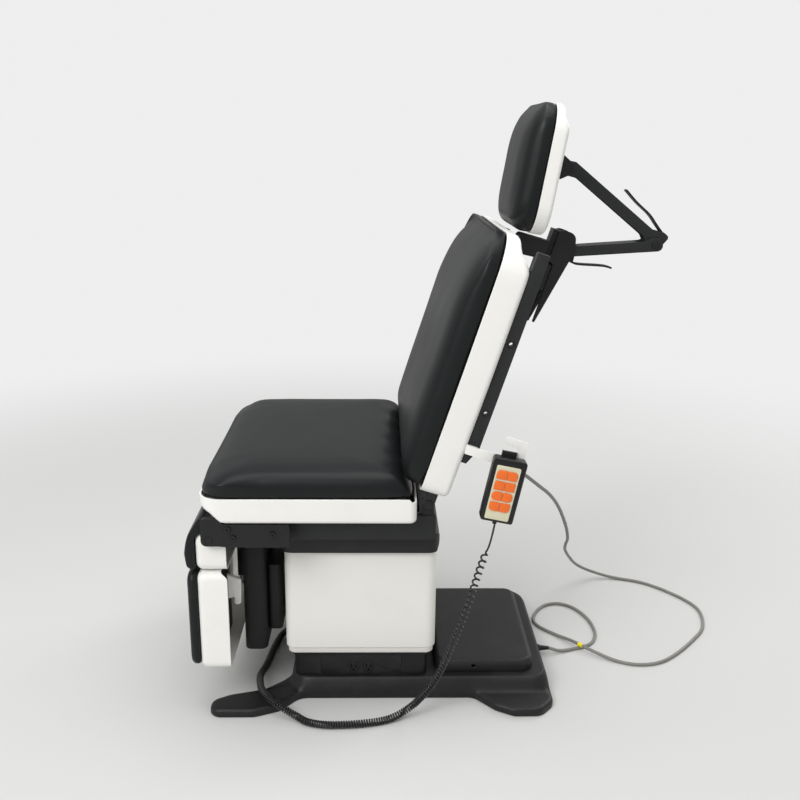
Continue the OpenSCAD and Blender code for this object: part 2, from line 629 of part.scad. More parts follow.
module leg_frame() {
  color(frame_grey) difference() {
    union() {
      both_sides() {
        side_plate(rounded([[leg_axis[0] - 14, 372, 4], [leg_axis[0] + 14, 372, 4],
          [leg_axis[0] + 14, leg_axis[1] + 14, 13.9], [leg_axis[0] - 14, leg_axis[1] + 14, 13.9]], 8),
          leg_arm_x0, leg_arm_x1);
        block([slide_x - slide_w / 2, slide_y0, slide_z0], [slide_x + slide_w / 2, slide_y0 + slide_d, 400]);
      }
      block([-leg_arm_x0 - 1, slide_y0, 376], [leg_arm_x0 + 1, slide_y0 + slide_d, 400]);
    }
    both_sides() {
      bar_x(leg_arm_x0 - cut, leg_arm_x1 + cut, leg_axis[0], leg_axis[1], hinge_pin_r + pin_clear);
      block([slide_x - slide_w / 2 + slide_wall, slide_y0 + slide_wall, slide_z0 - cut],
        [slide_x + slide_w / 2 - slide_wall, slide_y0 + slide_d - slide_wall, 392]);
    }
  }
}
// Cushion with one outline along its whole width, counterclockwise, drawn in towards its two ends
module long_pad(outline, half, steps) {
  n = len(steps);
  ring_at = concat([for (s = steps) [-half + s[1], s[0]]],
    [for (i = [n - 1:-1:0]) [half - steps[i][1], steps[i][0]]]);
  rings = [for (r = ring_at) [for (q = inset(outline, r[1])) [r[0], q[0], q[1]]]];
  mid = [for (k = [0, 1]) (min([for (q = outline) q[k]]) + max([for (q = outline) q[k]])) / 2];
  skin(rings, [-half, mid[0], mid[1]], [half, mid[0], mid[1]]);
}
end_steps = [[2.5, 0], [1, 3], [0.3, 9], [0, 24]];
leg_pad_top = 474;
module leg_cushion() {
  y = leg_front - seat_gap;
  color(vinyl_black) long_pad(rounded([[y, 400, 0], [y, 436, 1], [y + 21, 436, 4], [y + 21, leg_pad_top, 5],
    [y + 10, leg_pad_top, 9], [y - leg_pad_t + 4, 415, 30], [y - leg_pad_t, 385, 20],
    [y - leg_pad_t + 4, leg_split + 4, 10], [y, leg_split + 3, 4]], 4), leg_half, end_steps);
}
module footpad_cushion() {
  y = leg_front - seat_gap;
  color(vinyl_black) translate([0, y, 0]) upright_pad(2 * leg_half - 2, footpad_bottom + 3, leg_split - 3, 24,
    [[5, 0, 0.4], [1, 5, 0.8], [0, 11, 1], [3, 18, 0.8], [12, 23, 0.4], [30, 25, 0.1]], leg_pad_t, 3);
}
module footpad_handle() {
  color(shell_white) difference() {
    front_plate(rect(196, 229, 206, 309, 4), leg_front + shell_wall, -316);
    block([190, -334, 250], [210, -324, 290]);
  }
}
module footpad_slides() {
  inner = slide_wall + seat_gap;
  color(steel) both_sides()
    block([slide_x - slide_w / 2 + inner, slide_y0 + inner, footpad_bottom + shell_wall],
      [slide_x + slide_w / 2 - inner, slide_y0 + slide_d - inner, 380]);
}

// Headrest: a guide on the back, a mast that slides in it and two folding arms
guide_x = 30;
guide_arm_u0 = 505;
guide_arm_u1 = 545;
guide_u0 = 440;
sleeve_u1 = 498;
mast_v0 = 128.3;
mast_v1 = 141;
mast_half = 20;
mast_u0 = 363;
mast_u1 = 574;
web_half = 8;
ear_head_x0 = 24.5;
ear_head_x1 = 30;
arm_half = ear_head_x0 - 0.5;
arm_pin_r = 5;
lever_pin_r = 3;
arm_pivot = leaned(back_origin, back_lean, 170, 537);
lower_len = 197;
lower_angle = 4.1;
upper_len = 260;
upper_angle = 141.4;
elbow = arm_pivot + lower_len * [cos(lower_angle), sin(lower_angle)];
head_axis = elbow + upper_len * [cos(upper_angle), sin(upper_angle)];
lever_half = 10;
lever_t = 4;
// Strip of even thickness along a curved line
function strip(p, t) = let(n = len(p) - 1) concat(
  [for (i = [0:n]) let(h = heading(p, i)) p[i] + t / 2 * [-h[1], h[0]]],
  [for (i = [n:-1:0]) let(h = heading(p, i)) p[i] - t / 2 * [-h[1], h[0]]]);
module along(o, a) { translate([0, o[0], o[1]]) rotate([a, 0, 0]) children(); }

module headrest_guide() {
  g = seat_gap;
  color("#262627") in_back() {
    both_sides() {
      side_plate(rounded([[back_shell_t + g, 455, 2], [62, 455, 2], [72, 500, 8],
        [mast_v0 - g, guide_arm_u0, 0], [mast_v0 - g, guide_arm_u1, 2], [62, guide_arm_u1 - 2, 8], [back_shell_t + g, 516, 2]]), guide_x - 8, guide_x);
      block([mast_half + g, mast_v0 - 12, guide_u0], [mast_half + g + 8, mast_v1 + g + 8, sleeve_u1]);
      block([web_half + 0.5, mast_v1 + g, guide_u0], [mast_half + g + 8, mast_v1 + g + 8, sleeve_u1]);
    }
    block([-guide_x, mast_v0 - 12, guide_u0], [guide_x, mast_v0 - g, guide_arm_u1]);
    block([-60, back_shell_t + g, 455], [60, back_shell_t + g + 5, 500]);
  }
}
module headrest_mast() {
  color("#2a2a2b") in_back() {
    block([-mast_half, mast_v0, mast_u0], [mast_half, mast_v1, mast_u1]);
    side_plate(rounded([[mast_v1 - 1, mast_u0, 0], [mast_v1 + 8, mast_u0, 4], [156, 500, 20], [156, 524, 6],
      [177, 528, 6], [177, 560, 10], [164, mast_u1, 8], [mast_v1 - 1, mast_u1, 0]]), -web_half, web_half);
    block([-ear_head_x1, mast_v1 - 1, 506], [ear_head_x1, mast_v1 + 4, mast_u1]);
    both_sides() side_plate(rounded([[mast_v1, 506, 0], [152, 500, 2], [152, mast_u0 + 4, 2],
      [157, mast_u0 + 4, 3], [187, 540, 16], [178, mast_u1 + 4, 18], [mast_v1 + 8, mast_u1 + 4, 14],
      [mast_v1, mast_u1, 0]]), ear_head_x0, ear_head_x1);
    bar_x(-ear_head_x1, ear_head_x1, 170, 537, arm_pin_r);
  }
}
module lower_arm() {
  lower_top = arm_d - 13;
  color(frame_grey) along(arm_pivot, lower_angle) {
    difference() {
      side_plate(rounded([[-13, -13, 11], [lower_len + 16, -14, 12], [lower_len + 16, 15, 12],
        [lower_len - 10, 15, 8], [lower_len - 26, lower_top, 8], [20, lower_top, 10], [-13, 11, 11]]),
        -arm_half, arm_half);
      block([-arm_half + arm_t, -20, -20], [arm_half - arm_t, lower_len + 20, lower_top - arm_t]);
      block([-arm_half + arm_t, -20, -20], [arm_half - arm_t, 26, 20]);
      block([-arm_half + arm_t, lower_len - 40, -20], [arm_half - arm_t, lower_len + 20, 20]);
      bar_x(-arm_half - cut, arm_half + cut, 0, 0, arm_pin_r + pin_clear);
      bar_x(-arm_half - cut, arm_half + cut, lower_len, 0, arm_pin_r);
    }
    bar_x(-arm_half + arm_t - 1, arm_half - arm_t + 1, 16, -6, lever_pin_r);
  }
}
module elbow_pin() {
  color(steel) along(arm_pivot, lower_angle) {
    bar_x(-arm_half - 3, arm_half + 3, lower_len, 0, arm_pin_r);
    both_sides() bar_x(arm_half, arm_half + 3, lower_len, 0, arm_pin_r + 3);
  }
}
lower_lever_pin = arm_pivot + 16 * [cos(lower_angle), sin(lower_angle)]
  - 6 * [-sin(lower_angle), cos(lower_angle)];
module lower_lever() {
  o = lower_lever_pin;
  route = path([for (p = [[-10, -16], [2, -22], [17, -26], [70, -29], [90, -34]]) o + p], 4);
  color("#1d1d1e") difference() {
    union() {
      side_plate(strip(route, lever_t), -lever_half, lever_half);
      side_plate([o + [-6, 0], o + [-10, -15], o + [3, -20], o + [7, 0]], -lever_half, lever_half);
      bar_x(-lever_half, lever_half, o[0], o[1], lever_pin_r + 4);
    }
    bar_x(-lever_half - cut, lever_half + cut, o[0], o[1], lever_pin_r + pin_clear);
  }
}
upper_half = arm_half - arm_t - 0.5;
tab_y = -4.9;
tab_z = -24.4;
module upper_arm() {
  n = upper_len;
  i = upper_half - arm_t;
  upper_top = arm_d - 21;
  color(frame_grey) along(elbow, upper_angle) {
    difference() {
      side_plate(rounded([[-12, 11, 9], [14, 11, 8], [34, upper_top, 14], [n - 34, upper_top, 14], [n - 12, 11, 8],
        [n + 11, 11, 9], [n + 11, -12, 9], [n - 6, -21, 8], [26, -21, 8], [4, -32, 7], [-13, -32, 7]]), -upper_half, upper_half);
      block([-i, -20, -21 + arm_t], [i, n + 20, 20]);
      block([-i, -20, -40], [i, 28, 20]);
      block([-i, n - 14, -40], [i, n + 20, 20]);
      bar_x(-upper_half - cut, upper_half + cut, 0, 0, arm_pin_r + pin_clear);
      bar_x(-upper_half - cut, upper_half + cut, n, 0, head_pin_r + pin_clear);
    }
    bar_x(-i - 1, i + 1, tab_y, tab_z, lever_pin_r);
  }
}
elbow_lever_pin = elbow + tab_y * [cos(upper_angle), sin(upper_angle)]
  + tab_z * [-sin(upper_angle), cos(upper_angle)];
module elbow_lever() {
  o = elbow_lever_pin;
  route = path([for (p = [[2, 4], [-16, 26], [-34, 49], [-64, 75], [-89, 101]]) o + p], 4);
  color("#1d1d1e") difference() {
    union() {
      side_plate(strip(route, lever_t), -lever_half, lever_half);
      bar_x(-lever_half, lever_half, o[0], o[1], lever_pin_r + 4);
    }
    bar_x(-lever_half - cut, lever_half + cut, o[0], o[1], lever_pin_r + pin_clear);
  }
}
head_pin_r = 4;
head_front = -76.5;
head_rear = -37;
head_u0 = -137;
head_u1 = head_u0 + head_len;
module in_head() { lean(head_axis, head_lean) children(); }
module head_bracket() {
  x0 = upper_half + 0.5;
  color("#262627") in_head() {
    block([-42, head_rear + seat_gap, -45], [42, head_rear + 6, 45]);
    both_sides() side_plate(rounded([[head_rear + 5, -26, 0], [-12, -26, 8], [11, -11, 10], [11, 10, 10],
      [-12, 24, 8], [head_rear + 5, 30, 0]]), x0, x0 + 5);
    bar_x(-x0 - 5, x0 + 5, 0, 0, head_pin_r);
  }
}
module head_shell() {
  w = shell_wall;
  x = head_w / 2;
  side = rounded([[head_front, head_u0, 2], [head_rear - 6, head_u0, 9], [head_rear, head_u0 + 16, 6],
    [head_rear, head_u1 - 34, 10], [head_rear - 14, head_u1 - 20, 8], [head_rear - 16, head_u1 + 2, 6],
    [head_front, head_u1 + 2, 3]]);
  color(shell_white) in_head() difference() {
    intersection() {
      side_plate(side, -x, x);
      front_plate(rect(-x, head_u0, x, head_u1 + 2, 58, 8), head_front - cut, head_rear + cut);
    }
    intersection() {
      block([-x, head_front - cut, head_u0], [x, head_rear - 16 - w, head_u1 + 2]);
      front_plate(rect(-x + w, head_u0 + w, x - w, head_u1 + 2 - w, 54, 8), head_front - 2 * cut, head_rear);
    }
  }
}
module head_cushion() {
  color(vinyl_black) in_head() translate([0, head_front - seat_gap, 0])
    upright_pad(head_w - 2, head_u0 - 4, head_u1 + 4, 60,
      [[7, 0, 0.4], [1, 8, 0.8], [0, 20, 1], [4, 34, 0.9], [14, 46, 0.6], [32, 53, 0.3], [62, 56, 0.1]], 58, 4);
}

// Hand control in its own frame, hung on a white bracket
handset_x0 = 306;
handset_x1 = handset_x0 + handset_t;
handset_at = [237, 554];
keypad_t = 1.2;
keypad_v = -1.8;
row_u = [35.1, 12, -10.5, -32.8];
module in_handset() { lean(handset_at, handset_lean) children(); }
function button_place(n) = [keypad_v + (n % 2 == 0 ? -1 : 1) * (button_w / 2 + 0.75), row_u[floor(n / 2)]];
// One button or the window round it: g is added on every side
module button_block(n, g, x0, x1) {
  c = button_place(n);
  w = button_w / 2 + g;
  h = button_h / 2 + g;
  row = floor(n / 2);
  s = n % 2 == 0 ? -1 : 1;
  top = row == 0 ? 7 : row == 2 ? 8 : 2;
  low = row == 2 ? 8 : row == 3 ? 7 : 2;
  side_plate(rounded([[c[0] + s * w, c[1] - h, low + g], [c[0] + s * w, c[1] + h, top + g],
    [c[0] - s * w, c[1] + h, 1 + g], [c[0] - s * w, c[1] - h, 1 + g]], 4), x0, x1);
}
module handset_case() {
  w = handset_w / 2;
  h = handset_h / 2;
  color("#19191a") in_handset() {
    difference() {
      intersection() {
        side_plate(rect(-w, -h, w, h, 9), handset_x0, handset_x1);
        front_plate(rect(handset_x0, -h, handset_x1, h, 6), -w, w);
        slab(rect(handset_x0, -w, handset_x1, w, 6), -h, h);
      }
      for (n = [0:7]) button_block(n, seat_gap, handset_x1 - 6, handset_x1 + cut);
      translate([320, 0, -h - cut]) cylinder(r = 3, h = 10);
    }
    block([304.3, -18, h - 14], [310, 12, h + 9]);
    difference() {
      translate([320, 0, -h - 7]) cylinder(r = 4.5, h = 9);
      translate([320, 0, -h - 7 - cut]) cylinder(r = curly_wire_d / 2 + 0.1, h = 12);
    }
  }
}
module handset_keypad() {
  color(cream) in_handset() difference() {
    side_plate(rect(keypad_v - 24.5, -61, keypad_v + 24.5, 54, 3), handset_x1, handset_x1 + keypad_t);
    for (n = [0:7]) button_block(n, seat_gap, handset_x1 - cut, handset_x1 + 2 * keypad_t);
  }
}
module button(n) {
  color(orange) in_handset() button_block(n, 0, handset_x1 - 4.5, handset_x1 + keypad_t + button_proud);
}
plug_at = [246, 246, 578];
module handset_bracket() {
  color(shell_white) difference() {
    union() {
      side_plate(rounded([[159, 624, 1], [163, 642, 2], [190, 633, 4], [216, 626, 4], [224, 606, 6], [256, 598, 6],
        [267, 634, 4], [241, 645, 3], [243, 660, 4], [289, 645, 5], [268, 560, 6], [224, 560, 6], [214, 606, 4]]),
        300, 304);
      side_plate([[161, 624], [165, 640], [186, 633], [184, 620]], acc_x0 + rail_w, 301);
    }
    for (s = [-1, 1]) translate(plug_at + [0, s * 6, 0]) block([53, -1.2, -4], [59, 1.2, 4]);
  }
}
module mains_plug() {
  p = plug_at;
  color("#c9c9c4") {
    difference() {
      union() {
        translate(p) rotate([0, 90, 0]) cylinder(r = 9, h = 22);
        translate(p + [20, 0, 0]) rotate([0, 90, 0]) cylinder(r = 14, h = 24);
      }
      translate(p - [cut, 0, 0]) rotate([0, 90, 0]) cylinder(r = mains_d / 2 + 0.05, h = 8 + cut);
    }
    for (s = [-1, 1]) block(p + [43, s * 6 - 0.8, -3.2], p + [57.5, s * 6 + 0.8, 3.2]);
  }
}

// Mains cord: out of the gland, over the floor in two loops and up to its parked plug
mains_floor = mains_d / 2 + 0.2;
mains_over = mains_floor + mains_d + 0.6;
mains_flat = [[12, 476], [-6, 518], [-35, 540], [-79, 550], [-141, 544], [-195, 519], [-219, 484], [-211, 446],
  [-178, 416], [-131, 399], [-95, 410], [-57, 445]];
mains_flat_2 = [[67, 573], [83, 623], [72, 680], [27, 739], [-41, 803], [-84, 835], [-140, 855], [-194, 858],
  [-245, 837], [-303, 793], [-346, 742]];
mains_air = [[-373, 664, 7], [-370, 597, 30], [-328, 550, 70], [-270, 516, 120], [-212, 490, 170], [-161, 479, 210],
  [-112, 472, 250], [-52, 452, 310], [24, 416, 390], [91, 379, 450], [144, 340, 495], [180, 300, 535],
  [208, 268, 563], [226, 250, 575], [237, 246, 578], [246, 246, 578], [253, 246, 578]];
mains_route = concat([[gland_x, rear + 11, gland_z], [gland_x, rear + 20, gland_z],
  [gland_x, rear + 30, gland_z - 1], [24, 440, 7]],
  [for (p = mains_flat) [p[0], p[1], mains_floor]],
  [[-21, 475, 9.5], [8, 495, mains_over], [36, 527, 9.5]],
  [for (p = mains_flat_2) [p[0], p[1], mains_floor]], mains_air);
module mains_cord() {
  color(cord_grey) tube(path(mains_route, 2), mains_d / 2, 8, [0, 0, 1]);
}

// Curly cord: out of the deck's front, over the front foot, along the floor and up
curly_exit = [-70, -205, 27];
curl_floor = curly_d / 2 + 0.3;
curly_route = [curly_exit + [0, 4, 0], curly_exit + [0, -8, 0], [-68, -228, 26], [-56, -252, 14],
  [-30, -264, curl_floor], [10, -271, curl_floor], [50, -276, curl_floor], [98, -281, 12], [136, -285, 20],
  [169, -285, 30], [206, -280, 36], [234, -272, 37], [264, -253, 36], [284, -224, 27], [295, -192, 13],
  [311, -166, curl_floor], [321, -128, curl_floor], [321, -86, curl_floor], [317, -46, curl_floor],
  [309, -8, curl_floor], [298, 22, 11], [288, 46, 19], [286, 66, 34], [288, 84, 56], [291, 104, 84],
  [295, 126, 131], [298, 144, 182], [301, 165, 246], [304, 185, 320], [307, 198, 372], [312, 207, 405],
  [317, 214, 430], [320, 219, 455], [320, 222.9, 478]];
curls = 60;
lead_in = 46;
lead_out = 62;
curly_line = path(curly_route, 4);
// Length along the line p up to each of its points
function run(p, i, s) = i == len(p) ? [] :
  let(d = i == 0 ? 0 : norm(p[i] - p[i - 1])) concat([s + d], run(p, i + 1, s + d));
curly_run = run(curly_line, 0, 0);
curly_len = curly_run[len(curly_run) - 1];
curly_axis = [for (k = [0:2]) [for (i = [0:len(curly_run) - 1]) [curly_run[i], curly_line[i][k]]]];
function curly_at(s) = [for (k = [0:2]) lookup(s, curly_axis[k])];
// Curls lie close together on the floor and open out where the cord hangs
curl_start = lead_in;
curl_end = curly_len - lead_out;
hang_start = 0.66;
hang_share = 0.26;
function curl_share(t) = t < hang_start ? t * (1 - hang_share) / hang_start
  : let(q = (t - hang_start) / (1 - hang_start)) 1 - hang_share + hang_share * q * (1.25 - 0.25 * q);
function curl_radius(s) = (curly_d - curly_wire_d) / 2
  * max(0, min(1, (s - curl_start) / 12, (curl_end - s) / 16));
function curl_point(s, turn) =
  let(t = unit(curly_at(s + 4) - curly_at(s - 4)), side = unit(cross(t, [0, 0, 1])), up = cross(side, t))
  curly_at(s) + curl_radius(s) * (cos(360 * turn) * side + sin(360 * turn) * up);
// Steps along the line that give every curl eight rings
curl_t = [for (i = [0:400]) let(t = i / 400) [curl_share(t), t]];
curl_points = concat([for (i = [0:3]) curly_at(curl_start * i / 4)],
  [for (i = [0:8 * curls]) let(t = lookup(i / (8 * curls), curl_t))
    curl_point(curl_start + t * (curl_end - curl_start), i / 8)],
  [for (i = [1:4]) curly_at(curl_end + lead_out * i / 4)]);
// Least distance between the wire's surface and itself, past its nearest neighbours
curl_gap = min([for (i = [0:2:len(curl_points) - 6], j = [i + 5:min(i + 14, len(curl_points) - 1)])
  norm(curl_points[i] - curl_points[j])]) - curly_wire_d;
echo("curly cord least gap to itself", curl_gap, "curls", curls, "length", curly_len);
module curly_cord() {
  color("#151516") tube(curl_points, curly_wire_d / 2, 6, [0, 0, 1]);
}

base_cover();
base_plate();
rear_lid();
power_unit();
inner_column_box();
receptacle_panel();
outlet_sockets();
lift_column_outer();
mains_gland();
mains_cord();
curly_cord();
middle_cover();
lift_column_middle();
column_cover();
upper_shroud();
carriage_frame();
seat_frame();
seat_shell();
seat_cushion();
leg_hinge_bracket_left();
leg_hinge_bracket_right();
frame_bolts();
actuator_housing();
leg_motor();
hinge_pins();
back_frame();
back_shell();
back_cushion();
rail_left();
rail_right();
rail_bushings();
handset_bracket();
headrest_guide();
mains_plug();
headrest_mast();
lower_arm();
lower_lever();
elbow_pin();
upper_arm();
elbow_lever();
head_bracket();
head_shell();
head_cushion();
leg_frame();
leg_shell();
leg_cushion();
footpad_shell();
footpad_cushion();
footpad_handle();
footpad_slides();
handset_case();
handset_keypad();
button(0);  // button_1
button(1);  // button_2
button(2);  // button_3
button(3);  // button_4
button(4);  // button_5
button(5);  // button_6
button(6);  // button_7
button(7);  // button_8
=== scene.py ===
"""Power exam chair: finished surfaces, upholstery and cords round its construction."""

import math
from functools import cache

import bmesh
import bpy
from bpy.props import FloatProperty, FloatVectorProperty, IntProperty, PointerProperty
from mathutils import Matrix, Quaternion, Vector


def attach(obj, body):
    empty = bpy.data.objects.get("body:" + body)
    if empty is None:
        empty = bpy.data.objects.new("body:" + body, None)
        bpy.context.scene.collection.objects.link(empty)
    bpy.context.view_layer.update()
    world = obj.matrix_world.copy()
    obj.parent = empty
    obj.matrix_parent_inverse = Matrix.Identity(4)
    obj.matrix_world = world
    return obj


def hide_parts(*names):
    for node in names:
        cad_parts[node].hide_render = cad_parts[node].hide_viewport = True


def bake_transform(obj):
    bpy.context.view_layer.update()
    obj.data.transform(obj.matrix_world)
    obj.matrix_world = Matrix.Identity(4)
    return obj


bl_info = {
    "name": "Exam Chair",
    "version": (1, 0, 0),
    "blender": (4, 5, 0),
    "location": "View3D > Sidebar > Exam Chair",
    "description": "Builds a power exam chair with its upholstery, covers and cords",
    "category": "Add Mesh",
}

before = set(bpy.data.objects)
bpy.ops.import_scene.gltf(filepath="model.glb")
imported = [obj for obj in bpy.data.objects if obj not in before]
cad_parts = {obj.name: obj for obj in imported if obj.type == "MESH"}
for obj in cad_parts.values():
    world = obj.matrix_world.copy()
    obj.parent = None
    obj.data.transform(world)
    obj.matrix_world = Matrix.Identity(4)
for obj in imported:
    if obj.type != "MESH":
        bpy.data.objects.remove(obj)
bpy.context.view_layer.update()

# Metres in a millimetre. Sizes in this file are in millimetres unless a name says otherwise
MM = 0.001


# Colours and materials


def linear(code):
    """Linear colour of an sRGB hex code."""
    parts = [int(code[i : i + 2], 16) / 255 for i in (1, 3, 5)]
    return [c / 12.92 if c <= 0.04045 else ((c + 0.055) / 1.055) ** 2.4 for c in parts] + [1.0]


def add(tree, kind, links=None, **settings):
    """Adds a node. Settings are its properties; links maps an input to a value or to a socket."""
    made = tree.nodes.new(kind)
    for name, value in settings.items():
        setattr(made, name, value)
    for key, value in (links or {}).items():
        if isinstance(value, bpy.types.NodeSocket):
            tree.links.new(value, made.inputs[key])
        else:
            made.inputs[key].default_value = value
    return made


def blank(name):
    """New material with a Principled shader, and its object-space coordinates."""
    material = bpy.data.materials.new(name)
    material.use_nodes = True
    tree = material.node_tree
    shader = tree.nodes["Principled BSDF"]
    place = add(tree, "ShaderNodeTexCoord").outputs["Object"]
    return material, tree, shader, place


def spots(size):
    """Noise scale, per metre, whose spots are about so many millimetres across."""
    return 1 / (size * MM)


# Numbers of a Mix node's colour sockets, whose names its other kinds of socket share
MIX_LOW, MIX_HIGH, MIX_RESULT = 6, 7, 2


def vary(tree, shader, socket, amount, low, high):
    """Takes a number or colour of the shader from low to high as amount goes from 0 to 1."""
    if socket == "Base Color":
        mix = add(tree, "ShaderNodeMix", {"Factor": amount, MIX_LOW: low, MIX_HIGH: high}, data_type="RGBA")
        tree.links.new(mix.outputs[MIX_RESULT], shader.inputs[socket])
    else:
        scaled = add(tree, "ShaderNodeMapRange", {"Value": amount, "To Min": low, "To Max": high})
        tree.links.new(scaled.outputs["Result"], shader.inputs[socket])


def relief(tree, shader, height, depth, share=1.0):
    """Gives the shader a bump of so many millimetres."""
    bump = add(tree, "ShaderNodeBump", {"Height": height, "Distance": depth * MM, "Strength": share})
    tree.links.new(bump.outputs["Normal"], shader.inputs["Normal"])


def vinyl(name, code):
    """Upholstery vinyl, calendered on cloth: black with a soft wide sheen and a fine pebbled grain."""
    material, tree, shader, place = blank(name)
    cloud = add(tree, "ShaderNodeTexNoise", {"Vector": place, "Scale": spots(140), "Detail": 4.0})
    # The real pebbles are about 0.8 mm; drawn at 1.4 mm so that they show
    grain = add(tree, "ShaderNodeTexVoronoi", {"Vector": place, "Scale": spots(1.4)}, feature="F1")
    ripple = add(tree, "ShaderNodeTexNoise", {"Vector": place, "Scale": spots(26), "Detail": 3.0})
    vary(tree, shader, "Base Color", cloud.outputs["Fac"], linear(code), linear("#1a1c1d"))
    vary(tree, shader, "Roughness", cloud.outputs["Fac"], 0.33, 0.46)
    shader.inputs["Specular IOR Level"].default_value = 0.22
    height = add(tree, "ShaderNodeMath", {0: grain.outputs["Distance"], 1: 0.06}, operation="MULTIPLY")
    waves = add(tree, "ShaderNodeMath", {0: ripple.outputs["Fac"], 1: 0.9, 2: height.outputs[0]},
                operation="MULTIPLY_ADD")
    relief(tree, shader, waves.outputs[0], 0.5, 0.4)
    return material


def moulded(name, code, rough, grit, depth, dirt, dirt_share, gloss=0.5):
    """Moulded or thermoformed plastic: an even colour, a spark-eroded grain and faint handling marks."""
    material, tree, shader, place = blank(name)
    shader.inputs["Specular IOR Level"].default_value = gloss
    smudge = add(tree, "ShaderNodeTexNoise", {"Vector": place, "Scale": spots(90), "Detail": 6.0, "Roughness": 0.65})
    band = add(tree, "ShaderNodeMapRange", {"Value": smudge.outputs["Fac"], "From Min": 0.52, "From Max": 0.8,
                                           "To Max": dirt_share})
    vary(tree, shader, "Base Color", band.outputs[0], linear(code), linear(dirt))
    vary(tree, shader, "Roughness", smudge.outputs["Fac"], rough - 0.05, rough + 0.09)
    grain = add(tree, "ShaderNodeTexNoise", {"Vector": place, "Scale": spots(grit), "Detail": 2.0})
    relief(tree, shader, grain.outputs["Fac"], depth, 0.5)
    return material


def powder_coat(name, code, rough=0.5):
    """Baked powder coat on steel: nearly matt, with the orange peel that the melt leaves."""
    material, tree, shader, place = blank(name)
    shader.inputs["Specular IOR Level"].default_value = 0.36
    peel = add(tree, "ShaderNodeTexNoise", {"Vector": place, "Scale": spots(2.2), "Detail": 1.5})
    wear = add(tree, "ShaderNodeTexNoise", {"Vector": place, "Scale": spots(60), "Detail": 8.0, "Roughness": 0.7})
    rub = add(tree, "ShaderNodeMapRange", {"Value": wear.outputs["Fac"], "From Min": 0.58, "From Max": 0.78,
                                          "To Max": 0.35})
    vary(tree, shader, "Base Color", rub.outputs[0], linear(code), linear("#3a3b3d"))
    vary(tree, shader, "Roughness", wear.outputs["Fac"], rough - 0.08, rough + 0.12)
    relief(tree, shader, peel.outputs["Fac"], 0.12, 0.6)
    return material


def bright_steel(name, code, rough):
    """Zinc-plated or drawn steel: metallic, a little cloudy from its plating and from handling."""
    material, tree, shader, place = blank(name)
    shader.inputs["Metallic"].default_value = 1.0
    marks = add(tree, "ShaderNodeTexNoise", {"Vector": place, "Scale": spots(7), "Detail": 6.0})
    vary(tree, shader, "Base Color", marks.outputs["Fac"], linear(code), linear("#7b7d80"))
    vary(tree, shader, "Roughness", marks.outputs["Fac"], rough - 0.08, rough + 0.12)
    relief(tree, shader, marks.outputs["Fac"], 0.05, 0.4)
    return material


def jacket(name, code, rough, scuff):
    """Extruded cord jacket of soft PVC: smooth and a little glossy, dull where it has dragged on a floor."""
    material, tree, shader, place = blank(name)
    drag = add(tree, "ShaderNodeTexNoise", {"Vector": place, "Scale": spots(34), "Detail": 5.0})
    vary(tree, shader, "Base Color", drag.outputs["Fac"], linear(code), linear(scuff))
    vary(tree, shader, "Roughness", drag.outputs["Fac"], rough - 0.06, rough + 0.12)
    skin = add(tree, "ShaderNodeTexNoise", {"Vector": place, "Scale": spots(1.6), "Detail": 2.0})
    relief(tree, shader, skin.outputs["Fac"], 0.05, 0.4)
    return material


# The finish of each kind of piece: its material's maker, and the colours and numbers that it takes
FINISHES = {
    # Black seating vinyl: the darkest large surface, lit only by broad soft highlights
    "vinyl": (vinyl, "#131516"),
    # Warm white ABS of the seat, back and leg shells, vacuum formed and slightly glossy
    "white_abs": (moulded, "#f1f0ec", 0.36, 1.1, 0.05, "#dcd9d0", 0.25),
    # Column cover of painted ABS, a little creamier than the shells
    "cover_white": (moulded, "#eeece6", 0.3, 1.4, 0.04, "#dcd8cd", 0.2),
    # Base, lid and boxes of black ABS with a coarse moulded grain that hides scuffs
    "black_abs": (moulded, "#1b1b1c", 0.46, 1.5, 0.18, "#3d3d3c", 0.4, 0.36),
    # Smooth black plastic of the hand control and sockets
    "black_gloss": (moulded, "#121213", 0.28, 1.2, 0.03, "#2d2d2f", 0.25, 0.4),
    # Charcoal powder coat on the frames and the headrest arms
    "frame_grey": (powder_coat, "#212223"),
    # Black paint on brackets, rails and levers
    "black_metal": (powder_coat, "#171718", 0.44),
    # Zinc-plated pins and tubes
    "steel": (bright_steel, "#b4b6b9", 0.34),
    # Powder-coated sheet steel of the floor plate, the mattest of the blacks
    "plate_grey": (powder_coat, "#19191a", 0.58),
    # Painted motor and actuator castings
    "motor_grey": (powder_coat, "#141415", 0.6),
    # Cream overlay of the keypad, satin polyester
    "keypad_cream": (moulded, "#d9d5b8", 0.42, 0.9, 0.02, "#b7b298", 0.3),
    # Orange silicone keys, satin
    "button_orange": (moulded, "#f4701f", 0.38, 0.8, 0.05, "#dd5512", 0.4),
    # Grey PVC mains lead
    "cord_grey": (jacket, "#6f6e6a", 0.42, "#8d8b85"),
    # Black polyurethane curly lead, glossy
    "cord_black": (jacket, "#141415", 0.26, "#262627"),
    # Light grey moulded plug
    "plug_grey": (moulded, "#c4c4bf", 0.4, 1.0, 0.04, "#9b9a93", 0.3),
    # Yellow nylon tag on the mains lead
    "tag_yellow": (moulded, "#f0df20", 0.45, 1.0, 0.03, "#c4b312", 0.3),
}


@cache
def finish(name):
    """The material of that name, made once."""
    maker, *settings = FINISHES[name]
    return maker(name, *settings)


# Mesh helpers


def link(name, mesh):
    """New object that holds the mesh, at the origin."""
    piece = bpy.data.objects.new(name, mesh)
    bpy.context.scene.collection.objects.link(piece)
    return piece


